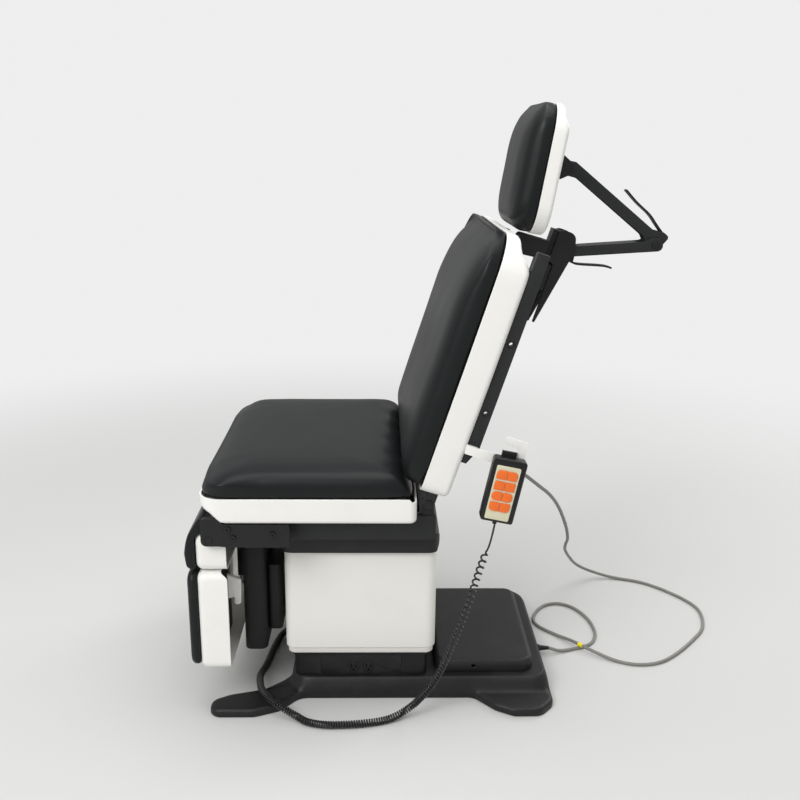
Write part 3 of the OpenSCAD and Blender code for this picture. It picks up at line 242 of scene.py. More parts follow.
def mesh_of(name, points, faces):
    """New smooth object from points in millimetres."""
    mesh = bpy.data.meshes.new(name)
    mesh.from_pydata([Vector(p) * MM for p in points], [], faces)
    mesh.update()
    mesh.shade_smooth()
    return link(name, mesh)


def reworked(mesh, change):
    """Makes a change to a mesh through bmesh."""
    work = bmesh.new()
    work.from_mesh(mesh)
    change(work)
    work.to_mesh(mesh)
    work.free()


def outward(piece):
    """Turns every face of a closed piece outwards."""
    reworked(piece.data, lambda work: bmesh.ops.recalc_face_normals(work, faces=work.faces))
    return piece


def flatten_sharp(piece, degrees=32):
    """Keeps edges sharper than this crisp on a smooth piece."""
    def mark(work):
        for edge in work.edges:
            edge.smooth = len(edge.link_faces) == 2 and edge.calc_face_angle() < math.radians(degrees)
        for face in work.faces:
            face.smooth = True
    reworked(piece.data, mark)


def rings_mesh(name, rings, low="fill", high="fill"):
    """Skin over closed rings of as many points each. An end is filled, fanned round its middle or open."""
    count = len(rings[0])
    points = [p for ring in rings for p in ring]
    faces = [[k * count + i, k * count + (i + 1) % count, (k + 1) * count + (i + 1) % count, (k + 1) * count + i]
             for k in range(len(rings) - 1) for i in range(count)]
    for end, first in ((low, 0), (high, (len(rings) - 1) * count)):
        ids = [first + i for i in range(count)]
        if end == "fill":
            faces.append(ids)
        elif end == "fan":
            ring = [Vector(points[i]) for i in ids]
            points.append(sum(ring, Vector()) / count)
            faces += [[ids[i], ids[(i + 1) % count], len(points) - 1] for i in range(count)]
    return mesh_of(name, points, faces)


def modify(piece, kind, **settings):
    """Adds a modifier with its settings."""
    made = piece.modifiers.new(kind.title(), kind)
    for name, value in settings.items():
        setattr(made, name, value)
    return made


def evaluated(piece, name):
    """Plain mesh of what a piece's modifiers make of it."""
    graph = bpy.context.evaluated_depsgraph_get()
    mesh = bpy.data.meshes.new_from_object(piece.evaluated_get(graph))
    mesh.name = name
    return mesh


def settle(piece):
    """Replaces a piece's mesh by what its modifiers make of it, and removes them."""
    mesh, old = evaluated(piece, piece.name), piece.data
    piece.modifiers.clear()
    piece.data = mesh
    bpy.data.meshes.remove(old)
    mesh.name = piece.name
    return piece


def carve(piece, cutter):
    """Takes the cutter's shape out of a closed piece, and deletes the cutter."""
    modify(piece, "BOOLEAN", operation="DIFFERENCE", object=cutter, solver="EXACT")
    settle(piece)
    bpy.data.meshes.remove(cutter.data)


def round_turns(count):
    """So many equal steps of a whole turn, in radians."""
    return [math.tau * i / count for i in range(count)]


def swept(name, points, diameter, sides, look):
    """Round tube along points in millimetres, made by the cord tree and kept as a plain mesh."""
    line = bpy.data.curves.new(name, "CURVE")
    line.dimensions = "3D"
    spline = line.splines.new("POLY")
    spline.points.add(len(points) - 1)
    for target, point in zip(spline.points, points):
        target.co = (*(Vector(point) * MM), 1.0)
    rope = link(name, line)
    grown(rope, cord_tree(), {"Diameter": diameter * MM, "Sides": sides, "Material": finish(look)})
    mesh = evaluated(rope, name)
    bpy.data.objects.remove(rope)
    bpy.data.curves.remove(line)
    return outward(link(name, mesh))


# Geometry Nodes trees


def new_tree(name, sockets):
    """Empty geometry tree with a geometry in and out and the named inputs."""
    tree = bpy.data.node_groups.new(name, "GeometryNodeTree")
    face = tree.interface
    face.new_socket("Geometry", in_out="INPUT", socket_type="NodeSocketGeometry")
    for label, kind, default in sockets:
        socket = face.new_socket(label, in_out="INPUT", socket_type=kind)
        if default is not None:
            socket.default_value = default
    face.new_socket("Geometry", in_out="OUTPUT", socket_type="NodeSocketGeometry")
    source = add(tree, "NodeGroupInput")
    sink = add(tree, "NodeGroupOutput")
    return tree, source, sink


def grown(piece, tree, values):
    """Runs a tree on a piece, with its named inputs set to these values."""
    modifier = modify(piece, "NODES", node_group=tree)
    for item in tree.interface.items_tree:
        if item.item_type == "SOCKET" and item.in_out == "INPUT" and item.name in values:
            modifier[item.identifier] = values[item.name]


def end_tree(tree, source, sink, geometry):
    """Makes instances real, sets the material and shows the result."""
    real = add(tree, "GeometryNodeRealizeInstances", {"Geometry": geometry})
    smooth = add(tree, "GeometryNodeSetShadeSmooth", {"Geometry": real.outputs[0]})
    dressed = add(tree, "GeometryNodeSetMaterial",
                  {"Geometry": smooth.outputs[0], "Material": source.outputs["Material"]})
    tree.links.new(dressed.outputs[0], sink.inputs[0])


@cache
def cord_tree():
    """Tree that sweeps a round section along a line and closes its ends."""
    tree, source, sink = new_tree("Cord section", [
        ("Diameter", "NodeSocketFloat", 0.008), ("Sides", "NodeSocketInt", 12),
        ("Material", "NodeSocketMaterial", None)])
    radius = add(tree, "ShaderNodeMath", {0: source.outputs["Diameter"], 1: 0.5}, operation="MULTIPLY")
    section = add(tree, "GeometryNodeCurvePrimitiveCircle",
                  {"Resolution": source.outputs["Sides"], "Radius": radius.outputs[0]})
    skin = add(tree, "GeometryNodeCurveToMesh",
               {"Curve": source.outputs["Geometry"], "Profile Curve": section.outputs[0], "Fill Caps": True})
    end_tree(tree, source, sink, skin.outputs[0])
    return tree


@cache
def screw_tree():
    """Tree that stands a socket screw on every face of a mesh, its head along the face's normal."""
    tree, source, sink = new_tree("Socket screws", [
        ("Head diameter", "NodeSocketFloat", 0.01), ("Head height", "NodeSocketFloat", 0.003),
        ("Socket diameter", "NodeSocketFloat", 0.004), ("Material", "NodeSocketMaterial", None)])
    half = add(tree, "ShaderNodeMath", {0: source.outputs["Head diameter"], 1: 0.5}, operation="MULTIPLY")
    hole = add(tree, "ShaderNodeMath", {0: source.outputs["Socket diameter"], 1: 0.5}, operation="MULTIPLY")
    height = source.outputs["Head height"]
    head = add(tree, "GeometryNodeMeshCylinder",
               {"Vertices": 28, "Side Segments": 1, "Radius": half.outputs[0], "Depth": height}, fill_type="NGON")
    socket = add(tree, "GeometryNodeMeshCylinder",
                 {"Vertices": 6, "Radius": hole.outputs[0], "Depth": height}, fill_type="NGON")
    # The hexagon is a fifth taller than the head and raised by 0.6 of it, so it opens the top half
    up = add(tree, "ShaderNodeCombineXYZ", {"Z": height})
    lift = add(tree, "ShaderNodeVectorMath", {0: up.outputs[0], 1: (0.6, 0.6, 0.6)}, operation="MULTIPLY")
    taller = add(tree, "ShaderNodeCombineXYZ", {"X": 1.0, "Y": 1.0, "Z": 1.2})
    raised = add(tree, "GeometryNodeTransform", {"Geometry": socket.outputs["Mesh"], "Translation": lift.outputs[0],
                                                 "Scale": taller.outputs[0]})
    drilled = add(tree, "GeometryNodeMeshBoolean", {0: head.outputs["Mesh"], 1: raised.outputs[0]},
                  operation="DIFFERENCE")
    normal = add(tree, "GeometryNodeInputNormal")
    turn = add(tree, "FunctionNodeAlignRotationToVector", {"Vector": normal.outputs[0]}, axis="Z")
    kept = add(tree, "GeometryNodeCaptureAttribute", {"Geometry": source.outputs["Geometry"]}, domain="FACE")
    kept.capture_items.new("ROTATION", "Turn")
    tree.links.new(turn.outputs[0], kept.inputs[1])
    points = add(tree, "GeometryNodeMeshToPoints", {"Mesh": kept.outputs[0]}, mode="FACES")
    placed = add(tree, "GeometryNodeInstanceOnPoints", {"Points": points.outputs[0], "Instance": drilled.outputs[0],
                                                        "Rotation": kept.outputs[1]})
    end_tree(tree, source, sink, placed.outputs[0])
    return tree


def screws(name, places, head, height, socket, look, body, node):
    """Socket screws at (point, outward direction) pairs in millimetres, as one piece that stands for a node."""
    corners, faces = [], []
    for point, way in places:
        way = Vector(way).normalized()
        side = way.orthogonal().normalized()
        across = way.cross(side)
        faces.append([len(corners) + i for i in range(4)])
        # A tiny face, half a head off the surface, carries each screw
        corners += [Vector(point) + way * height / 2 + 0.1 * (side * a + across * b)
                    for a, b in ((1, 0), (0, 1), (-1, 0), (0, -1))]
    seeds = mesh_of(name, corners, faces)
    grown(seeds, screw_tree(), {"Head diameter": head * MM, "Head height": height * MM,
                                "Socket diameter": socket * MM, "Material": finish(look)})
    flatten_sharp(settle(seeds))
    dress(seeds, look, body, node)


# Cord routes: points in millimetres, as the construction has them

BASE_REAR = 384
GLAND = Vector((26, BASE_REAR, 16))
MAINS_D = 8
# Heights of the mains cord's centre where it lies on the floor and where it passes over itself
FLOOR_LINE = 4.2
OVER_LINE = 12.8
MAINS_ROUTE = (
    [(26, 395, 16), (26, 404, 16), (26, 414, 15), (24, 440, 7)]
    + [(x, y, FLOOR_LINE) for x, y in (
        (12, 476), (-6, 518), (-35, 540), (-79, 550), (-141, 544), (-195, 519), (-219, 484), (-211, 446),
        (-178, 416), (-131, 399), (-95, 410), (-57, 445))]
    + [(-21, 475, 9.5), (8, 495, OVER_LINE), (36, 527, 9.5)]
    + [(x, y, FLOOR_LINE) for x, y in (
        (67, 573), (83, 623), (72, 680), (27, 739), (-41, 803), (-84, 835), (-140, 855), (-194, 858),
        (-245, 837), (-303, 793), (-346, 742))]
    + [(-373, 664, 7), (-370, 597, 30), (-328, 550, 70), (-270, 516, 120), (-212, 490, 170), (-161, 479, 210),
       (-112, 472, 250), (-52, 452, 310), (24, 416, 390), (91, 379, 450), (144, 340, 495), (180, 300, 535),
       (208, 268, 563), (226, 250, 575), (237, 246, 578), (246, 246, 578), (253, 246, 578)]
)
# Heights where the mains cord hands over from the carriage to the seat and from the seat to the back
MAINS_CUTS = (170, 310)
# Where the yellow tag is tied, near the crossing of the floor loop
TAG_NEAR = Vector((9, 494, 10))
# Distance behind the base's rear edge and radius at each step of the strain relief
GLAND_PROFILE = [(-14, 7), (-0.4, 7), (-0.2, 9), (0.6, 9.4), (2.6, 9.4), (3.4, 8.6), (3.6, 7), (6, 7)] + [
    (6 + 3.4 * k + step, 7 - 0.42 * k - groove) for k in range(6)
    for step, groove in ((0, 0), (1.8, 0), (2.2, 1.0), (3.0, 1.0))] + [(27, 4.9), (27.4, 4.2), (20, 4.12)]

# The curly cord: its diameter over the curls, and the height of its middle on the floor
CURLY_D = 17
CURL_FLOOR = CURLY_D / 2 + 0.3
CURLY_ROUTE = [
    (-70, -201, 27), (-70, -213, 27), (-68, -228, 26), (-56, -252, 14), (-30, -264, CURL_FLOOR),
    (10, -271, CURL_FLOOR), (50, -276, CURL_FLOOR), (98, -281, 12), (136, -285, 20), (169, -285, 30),
    (206, -280, 36), (234, -272, 37), (264, -253, 36), (284, -224, 27), (295, -192, 13),
    (311, -166, CURL_FLOOR), (321, -128, CURL_FLOOR), (321, -86, CURL_FLOOR), (317, -46, CURL_FLOOR),
    (309, -8, CURL_FLOOR), (298, 22, 11), (288, 46, 19), (286, 66, 34), (288, 84, 56), (291, 104, 84),
    (295, 126, 131), (298, 144, 182), (301, 165, 246), (304, 185, 320), (307, 198, 372), (312, 207, 405),
    (317, 214, 430), (320, 219, 455), (320, 222.9, 478)]
# Heights where the curly cord hands over from one moving body to the next
CURLY_CUTS = (200, 290, 385)
# Points to a turn of the wire, and steps between two points of its route
CURL_POINTS = 14
ROUTE_STEPS = 24
# Straight wire before and after the curls, the steps along it, and the way in which a curl reaches its full width
LEAD_IN, LEAD_OUT = 30, 62
LEAD_STEP = 3.0
GROW_IN, GROW_OUT = 14, 18


def smooth_line(points, steps):
    """Catmull-Rom line through points, with so many steps between two of them."""
    p = [Vector(q) for q in points]
    out = []
    for i in range(len(p) - 1):
        a, b, c, d = p[max(i - 1, 0)], p[i], p[i + 1], p[min(i + 2, len(p) - 1)]
        for j in range(steps):
            t = j / steps
            out.append(0.5 * (2 * b + (c - a) * t + (2 * a - 5 * b + 4 * c - d) * t * t
                              + (3 * b - a - 3 * c + d) * t ** 3))
    return out + [p[-1]]


def clamp(x, most=1.0):
    """x held between 0 and most."""
    return max(0.0, min(most, x))


def cut_line(points, heights, rise):
    """Splits a line where its guide heights, rise, first pass each height after its last low point."""
    last_low = max(i for i, z in enumerate(rise) if z < heights[0])
    marks = [0]
    for height in heights:
        marks.append(next(i for i in range(last_low, len(rise)) if rise[i] >= height))
    marks.append(len(points) - 1)
    return [points[a : b + 1] for a, b in zip(marks, marks[1:])]


def curl_line(wire, tight, loose):
    """Points of the curled wire, with the height of its axis at each."""
    axis = smooth_line(CURLY_ROUTE, ROUTE_STEPS)
    run = [0.0]
    for a, b in zip(axis, axis[1:]):
        run.append(run[-1] + (b - a).length)
    total = run[-1]
    # Where the cord leaves the floor for the last time, from which its own weight opens the curls
    hang = run[max(i for i, q in enumerate(axis) if q.z < 30 and q.y > -60)]
    radius = (CURLY_D - wire) / 2
    points, heights = [axis[0]], [axis[0].z]
    place, turn, at = 0.0, 0.0, 0
    while place < total - 0.01:
        pitch = tight + (loose - tight) * clamp((place - hang) / (total - LEAD_OUT - hang)) ** 1.15
        curled = LEAD_IN < place < total - LEAD_OUT
        place = min(place + (pitch / CURL_POINTS if curled else LEAD_STEP), total)
        turn += math.tau / CURL_POINTS if curled else 0.0
        while run[at + 1] < place - 1e-9:
            at += 1
        q = axis[at].lerp(axis[at + 1], (place - run[at]) / (run[at + 1] - run[at]))
        near, far = axis[max(at - 3, 0)], axis[min(at + 4, len(axis) - 1)]
        way = (far - near).normalized()
        side = way.cross(Vector((0, 0, 1))).normalized()
        wide = radius * max(0.0, min(1.0, (place - LEAD_IN) / GROW_IN, (total - LEAD_OUT - place) / GROW_OUT))
        points.append(q + wide * (math.cos(turn) * side + math.sin(turn) * side.cross(way)))
        heights.append(q.z)
    return points, heights


def chained_cord(node, parts, diameter, sides, look):
    """Sweeps each stretch of the line into a piece of its own, and hides the node once the first piece is made.
    """
    for k, part in enumerate(parts):
        piece = swept(f"{node}_{k + 1}", part, diameter, sides, look)
        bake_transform(piece)
        if k == 0:
            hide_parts(node)


# Outlines and frames that the shells and cushions share


def arc_corner(a, b, c, r, steps):
    """Points that round the corner at b, on the way from a to c."""
    a, b, c = Vector(a), Vector(b), Vector(c)
    u, v = (a - b).normalized(), (c - b).normalized()
    half = math.acos(max(-1, min(1, u.dot(v)))) / 2
    if r == 0 or half > math.radians(89):
        return [b]
    reach = r / math.tan(half)
    middle = b + (u + v).normalized() * r / math.sin(half)
    p, q = b + u * reach - middle, b + v * reach - middle
    first = math.atan2(p.y, p.x)
    turn = math.atan2(q.y, q.x) - first
    turn += math.tau if turn < -math.pi else -math.tau if turn > math.pi else 0
    return [middle + r * Vector((math.cos(first + turn * i / steps), math.sin(first + turn * i / steps)))
            for i in range(steps + 1)]


def rounded(corners, steps=8):
    """Closed outline through (x, y, radius) corners."""
    count = len(corners)
    return [p for i in range(count) for p in arc_corner(
        corners[i - 1][:2], corners[i][:2], corners[(i + 1) % count][:2], corners[i][2], steps)]


def box_outline(x0, y0, x1, y1, r, steps=10):
    """Counterclockwise rounded rectangle."""
    return rounded([(x0, y0, r), (x1, y0, r), (x1, y1, r), (x0, y1, r)], steps)


def spaced(outline, step):
    """The outline with points no further apart than step, its own points kept."""
    out = []
    for a, b in zip(outline, outline[1:] + outline[:1]):
        parts = max(1, math.ceil((b - a).length / step))
        out += [a.lerp(b, j / parts) for j in range(parts)]
    return out


def inset(outline, distance):
    """Counterclockwise outline moved inwards along its own normals."""
    count = len(outline)
    out = []
    for i, p in enumerate(outline):
        way = (outline[(i + 1) % count] - outline[i - 1]).normalized()
        out.append(p + distance * Vector((-way.y, way.x)))
    return out


def counterclockwise(outline):
    """The outline, turned round if it runs clockwise."""
    area = sum(a.x * b.y - b.x * a.y for a, b in zip(outline, outline[1:] + outline[:1]))
    return list(reversed(outline)) if area < 0 else outline


def smoothstep(x, low, high):
    """0 below low, 1 above high and smooth between them."""
    t = clamp((x - low) / (high - low))
    return t * t * (3 - 2 * t)


def leaned(origin, degrees):
    """Matrix of a frame at (y, z) millimetres that leans back: its Y is to the rear and its Z up the slope."""
    return Matrix.Translation((0, origin[0] * MM, origin[1] * MM)) @ Matrix.Rotation(-math.radians(degrees), 4, "X")


BACK = leaned((71.5, 536), 17.6)
HEAD = leaned((389.22, 1172.75), 9.2)
# Upright frame whose own plan is X and Z, for the leg section
UPRIGHT = Matrix.Identity(4)

# Shares of the way down a shell's wall, and from its rolled edge to its middle, at which its rings lie
WALL_RINGS = (0.0, 0.04, 0.3, 0.65, 1.0)
FLOOR_RINGS = (0.03, 0.06, 0.1, 0.15, 0.2, 0.26, 0.33, 0.42, 0.52, 0.64, 0.78, 0.92)
ROLL_RINGS = 8


def shell(name, outline, rim, floor, depth_way, edge, wall, centre):
    """Vacuum-formed tray: walls from the rim, a rolled edge of that radius and a floor that follows its own height.

    outline is the plan; rim and floor give the height at a plan point; depth_way turns (plan, height) to a place.
    """
    rings = []
    for share in WALL_RINGS:
        ring = []
        for p in outline:
            top, low = rim(p), floor(p)
            start = low + edge * (1 if top > low else -1)
            ring.append(depth_way(p, top + (start - top) * share))
        rings.append(ring)
    for step in range(1, ROLL_RINGS + 1):
        a = math.radians(90 * step / ROLL_RINGS)
        off = edge * (1 - math.cos(a))
        ring = []
        for p, q in zip(outline, inset(outline, off)):
            low = floor(q)
            side = 1 if rim(p) > low else -1
            ring.append(depth_way(q, low + side * edge * (1 - math.sin(a))))
        rings.append(ring)
    last = inset(outline, edge)
    centre = Vector(centre)
    for share in FLOOR_RINGS:
        ring = [p.lerp(centre, share) for p in last]
        rings.append([depth_way(p, floor(p)) for p in ring])
    piece = rings_mesh(name, rings, low="open", high="fan")
    outward_from(piece, depth_way(centre, (rim(centre) + floor(centre)) / 2))
    return thicken(piece, wall)


def thicken(piece, wall):
    """Gives an open skin its wall, inwards, and breaks the edges of its rims."""
    modify(piece, "SOLIDIFY", thickness=wall * MM, offset=-1.0, use_even_offset=False)
    modify(piece, "BEVEL", width=0.9 * MM, segments=2, limit_method="ANGLE", angle_limit=math.radians(50))
    return settle(piece)


def outward_from(piece, inside):
    """Turns an open skin's faces away from a point in millimetres."""
    inside = Vector(inside) * MM
    away = sum((f.normal.dot(f.center - inside) * f.area for f in piece.data.polygons))
    if away < 0:
        piece.data.flip_normals()


def dress(piece, look, body, *nodes, slot=None):
    """Gives a finished piece its material and body, and hides the nodes that it stands for. Its slot is not used."""
    if not piece.data.materials:
        piece.data.materials.append(finish(look))
    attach(piece, body)
    if nodes:
        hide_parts(*nodes)


def cut_boxes(piece, boxes):
    """Cuts boxes, given by two corners in millimetres, out of a closed piece."""
    for low, high in boxes:
        corners = [(x, y, z) for x in (low[0], high[0]) for y in (low[1], high[1]) for z in (low[2], high[2])]
        faces = [(0, 1, 3, 2), (4, 6, 7, 5), (0, 4, 5, 1), (2, 3, 7, 6), (0, 2, 6, 4), (1, 5, 7, 3)]
        carve(piece, outward(mesh_of("cutter", corners, faces)))


def refined(node, look, body, width=0.8, segments=2, slot=None):
    """A CAD node's shape with its facets merged and its crisp edges broken, in place of the node."""
    def merge(work):
        bmesh.ops.remove_doubles(work, verts=work.verts, dist=0.02 * MM)
        bmesh.ops.dissolve_limit(work, angle_limit=math.radians(1.2), verts=work.verts, edges=work.edges)
    piece = link(node + "_finished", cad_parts[node].data.copy())
    piece.data.materials.clear()
    reworked(piece.data, merge)
    modify(piece, "BEVEL", width=width * MM, segments=segments, limit_method="ANGLE", angle_limit=math.radians(33),
           use_clamp_overlap=True)
    flatten_sharp(settle(piece), 28)
    piece.data.materials.clear()
    dress(piece, look, body, node, slot=slot)
    return piece


# Upholstery


def pad_rings(width, length, corner, steps, pull):
    """Rings of a crowned cushion on the plane of its own plan. A step is (inset, height, share of the pull)."""
    rings = []
    for off, height, share in steps:
        if rings:
            outline = matched(rings[0], off, width, length, corner)
        else:
            outline = spaced(box_outline(-width / 2 + off, -length / 2 + off, width / 2 - off, length / 2 - off,
                                         max(corner - off, 4), 7), 16)
        ring = []
        for p in outline:
            drawn_x = pull * share * max(0.0, 1 - (2 * p.y / length) ** 2)
            drawn_y = pull * share * max(0.0, 1 - (2 * p.x / width) ** 2)
            x = p.x - math.copysign(drawn_x, p.x) * smoothstep(abs(p.x), width * 0.2, width * 0.5)
            y = p.y - math.copysign(drawn_y, p.y) * smoothstep(abs(p.y), length * 0.2, length * 0.5)
            ring.append(Vector((x, y, height)))
        rings.append(ring)
    return rings


def matched(first, off, width, length, corner):
    """A ring with as many points as the first, at the given inset of the same rounded rectangle."""
    inner = max(corner - off, 4)
    out = []
    for p in first:
        sx, sy = math.copysign(1, p.x), math.copysign(1, p.y)
        cx, cy = sx * (width / 2 - corner), sy * (length / 2 - corner)
        dx, dy = (p.x - cx) * sx, (p.y - cy) * sy
        nx, ny = sx * (width / 2 - off - inner), sy * (length / 2 - off - inner)
        if dx > 0 and dy > 0:
            way = Vector((dx, dy)).normalized()
            out.append(Vector((nx + sx * way.x * inner, ny + sy * way.y * inner)))
        elif dx > 0:
            out.append(Vector((sx * (width / 2 - off), p.y * ny / cy if cy else 0)))
        else:
            out.append(Vector((p.x * nx / cx if cx else 0, sy * (length / 2 - off))))
    return out


FILL_FRAMES = 20
# Rounds of evening out, which spread the fullness over a few centimetres, because the cover is taut
TAUT_ROUNDS = 14


def swell(piece, voxel, pressure, cap, held=lambda co: co.z < 4 * MM):
    """Fills a cushion by cloth simulation: what is held stays, and each point moves outwards, up to the cap."""
    modify(piece, "REMESH", mode="VOXEL", voxel_size=voxel * MM, use_smooth_shade=True)
    settle(piece)
    modify(piece, "SMOOTH", factor=0.5, iterations=3)
    settle(piece)
    before = [(v.co.copy(), v.normal.copy()) for v in piece.data.vertices]
    group = piece.vertex_groups.new(name="held")
    group.add([v.index for v in piece.data.vertices if held(v.co)], 1.0, "REPLACE")
    cloth = modify(piece, "CLOTH")
    for name, value in (("quality", 5), ("mass", 0.4), ("tension_stiffness", 25), ("compression_stiffness", 25),
                        ("bending_stiffness", 2.5), ("use_pressure", True), ("uniform_pressure_force", pressure),
                        ("vertex_group_mass", "held")):
        setattr(cloth.settings, name, value)
    cloth.settings.effector_weights.gravity = 0
    cloth.collision_settings.use_self_collision = False
    cloth.point_cache.frame_start = 1
    cloth.point_cache.frame_end = FILL_FRAMES
    for number in range(1, FILL_FRAMES + 1):
        bpy.context.scene.frame_set(number)
    settle(piece)
    bpy.context.scene.frame_set(1)
    rise = [clamp((v.co - start).dot(way), cap * MM) for v, (start, way) in zip(piece.data.vertices, before)]
    near = [[] for _ in rise]
    for edge in piece.data.edges:
        a, b = edge.vertices
        near[a].append(b)
        near[b].append(a)
    for _ in range(TAUT_ROUNDS):
        rise = [(own + sum(rise[j] for j in ids)) / (1 + len(ids)) for own, ids in zip(rise, near)]
    for vertex, (start, way), up in zip(piece.data.vertices, before, rise):
        vertex.co = start + way * up
    modify(piece, "SUBSURF", levels=1, render_levels=1)
    settle(piece)


def upholstered(name, node, body, rings, to_frame, voxel, pressure, cap, wrinkle=None):
    piece = outward(rings_mesh(name, rings, low="fan", high="fan"))
    swell(piece, voxel, pressure, cap)
    if wrinkle:
        for vertex in piece.data.vertices:
            vertex.co += wrinkle(vertex.co / MM) * MM
    piece.data.transform(to_frame)
    outward(piece)
    piece.data.shade_smooth()
    dress(piece, "vinyl", body, node)


# Settings that a user would change


class CushionSettings(bpy.types.PropertyGroup):
    """How full the cushions are."""

    fill: FloatProperty(name="Fill", description="How tight the cushions are, from slack to full", default=0.8,
                        min=0, max=1, subtype="FACTOR")
    pressure: FloatProperty(name="Pressure", description="Pressure that swells the seat, back and head cushions",
                            default=2.6, min=0)


class CoverSettings(bpy.types.PropertyGroup):
    """Sizes of the plastic covers."""

    wall: FloatProperty(name="Wall", description="Wall of the white shells", default=0.004, unit="LENGTH")
    roll: FloatProperty(name="Rolled edge", description="Radius of a shell's rolled edge", default=0.012,
                        unit="LENGTH")


class CordSettings(bpy.types.PropertyGroup):
    """How the curly cord is wound."""

    wire: FloatProperty(name="Wire", description="Diameter of the curled wire", default=0.0042, unit="LENGTH")
    tight: FloatProperty(name="Tight pitch", description="Pitch of the curls on the floor", default=0.0056,
                         unit="LENGTH")
    loose: FloatProperty(name="Loose pitch", description="Pitch of the curls at the hand control",
                         default=0.017, unit="LENGTH")
    sides: IntProperty(name="Sides", description="Sides of the wire's section", default=7, min=5, max=16)


class StageSettings(bpy.types.PropertyGroup):
    """Colours of the floor and the background."""

    floor: FloatVectorProperty(name="Floor", description="Colour of the floor", default=(0.62, 0.62, 0.61),
                               subtype="COLOR")
    backdrop: FloatVectorProperty(name="Background", description="Colour behind the chair",
                                  default=(0.86, 0.86, 0.86), subtype="COLOR")


# Camera and cords

# The photograph was taken from the chair's right-hand side, a little above the seat
CAMERA_PLACE = (2.003, -0.010, 1.221)
CAMERA_DOWN = math.radians(15.95)
CAMERA_TURN = math.radians(1.3)
CAMERA_ROLL = math.radians(0.61)
CAMERA_LENS = 40.5


def make_camera():
    """Camera at the photograph's place, tilt, roll and lens."""
    ahead = Vector((-math.cos(CAMERA_DOWN) * math.cos(CAMERA_TURN),
                    math.cos(CAMERA_DOWN) * math.sin(CAMERA_TURN), -math.sin(CAMERA_DOWN)))
    camera = bpy.data.objects.new("Camera", bpy.data.cameras.new("Camera"))
    bpy.context.scene.collection.objects.link(camera)
    camera.data.lens = CAMERA_LENS
    camera.data.sensor_width = 36
    camera.location = CAMERA_PLACE
    camera.rotation_mode = "QUATERNION"
    camera.rotation_quaternion = Quaternion(ahead, -CAMERA_ROLL) @ ahead.to_track_quat("-Z", "Y")
    bpy.context.scene.camera = camera


def make_cords():
    """Mains cord in three stretches, curly cord in four, with the gland, the plug and the yellow tag."""
    cord = bpy.context.scene.chair_cords
    gland = rings_mesh("mains_strain_relief", [
        [GLAND + Vector((r * math.cos(a), along, r * math.sin(a))) for a in round_turns(32)]
        for along, r in GLAND_PROFILE], low="fan", high="open")
    outward_from(gland, GLAND + Vector((0, 6, 0)))
    dress(gland, "black_gloss", "base", "mains_gland")
    plug = refined("mains_plug", "plug_grey", "back", 1.6, 3)
    line = smooth_line(MAINS_ROUTE, steps=6)
    at = min(range(len(line)), key=lambda i: (line[i] - TAG_NEAR).length)
    tag = swept("cord_tag", line[at - 1 : at + 2], diameter=MAINS_D + 2.4, sides=20, look="tag_yellow")
    dress(tag, "tag_yellow", "base")
    flatten_sharp(tag)
    parts = cut_line(line, MAINS_CUTS, [q.z for q in line])
    chained_cord("mains_cord", parts, diameter=MAINS_D, sides=14, look="cord_grey")
    wire = cord.wire / MM
    points, heights = curl_line(wire, cord.tight / MM, cord.loose / MM)
    parts = cut_line(points, CURLY_CUTS, heights)
    chained_cord("curly_cord", parts, diameter=wire, sides=cord.sides, look="cord_black")


# Cushions

# The seat cushion: height of its foot, half its width, its corner radius, and the middle and length of its plan
SEAT_TOP = 522.3
SEAT_HALF = 298.5
SEAT_CORNER = 52
SEAT_MIDDLE = -175
SEAT_LENGTH = 412
# Rings of each cushion from its foot to its crown, as (inset, height, share of the pull between the corners)
SEAT_STEPS = [(8, -4, 0.3), (3.4, 0, 0.3), (1.4, 2, 0.5), (0.3, 7, 0.8), (0, 16, 1), (0.6, 24, 1), (2.4, 32, 1),
              (6, 39, 0.9), (12, 45, 0.7), (21, 49.5, 0.5), (35, 52, 0.3), (60, 53.5, 0.2), (95, 55, 0.1),
              (140, 55.6, 0)]
BACK_STEPS = [(8, -4, 0.3), (3.6, 0, 0.3), (1.2, 2.4, 0.6), (0.2, 9, 0.9), (0, 19, 1), (1, 27, 1), (4, 34, 1),
              (9, 40, 0.9), (17, 45, 0.7), (28, 49, 0.5), (46, 51.5, 0.3), (80, 53, 0.2), (130, 54, 0.1),
              (180, 54.4, 0)]
HEAD_STEPS = [(8, -4, 0.3), (3.4, 0, 0.3), (1, 3, 0.7), (0, 12, 1), (0.5, 20, 1), (3, 28, 1), (8, 36, 0.9),
              (16, 42.5, 0.6), (28, 46.5, 0.4), (46, 49, 0.2), (74, 50.5, 0.1)]
FOOT_STEPS = [(5, 0, 0.3), (1.2, 4, 0.8), (0, 10, 1), (1.4, 15, 1), (5, 19.5, 0.8), (12, 22.6, 0.5),
              (26, 24.4, 0.2), (50, 25.2, 0.1)]
# Plans of the other cushions, as (width, length, corner radius)
BACK_PLAN, HEAD_PLAN, FOOT_PLAN = (592, 541, 88), (297, 266, 60), (553, 226, 24)
# Front of the footpad's cushion and pressure that fills the thin cushions of the leg section
FOOT_FRONT = -396.3
FIRM = 1.6
# Power of the squared corner that corner_shift draws
SQUARENESS = 5.5
# The filled seat: depth of its sitting dish, fall of its front, push of its rear under the back, and its wrinkles
SEAT_DISH, SEAT_FALL, SEAT_TUCK, SEAT_PLEAT, SEAT_RIPPLE = 2.2, 16, 31, 2.2, 1.0
# The filled back: its lumbar swell, how far its foot is drawn in, how far its top rounds over, and its wrinkles
BACK_LUMBAR, BACK_FOOT, BACK_OVER, BACK_RIPPLE = 2.0, 5, 33, 0.5
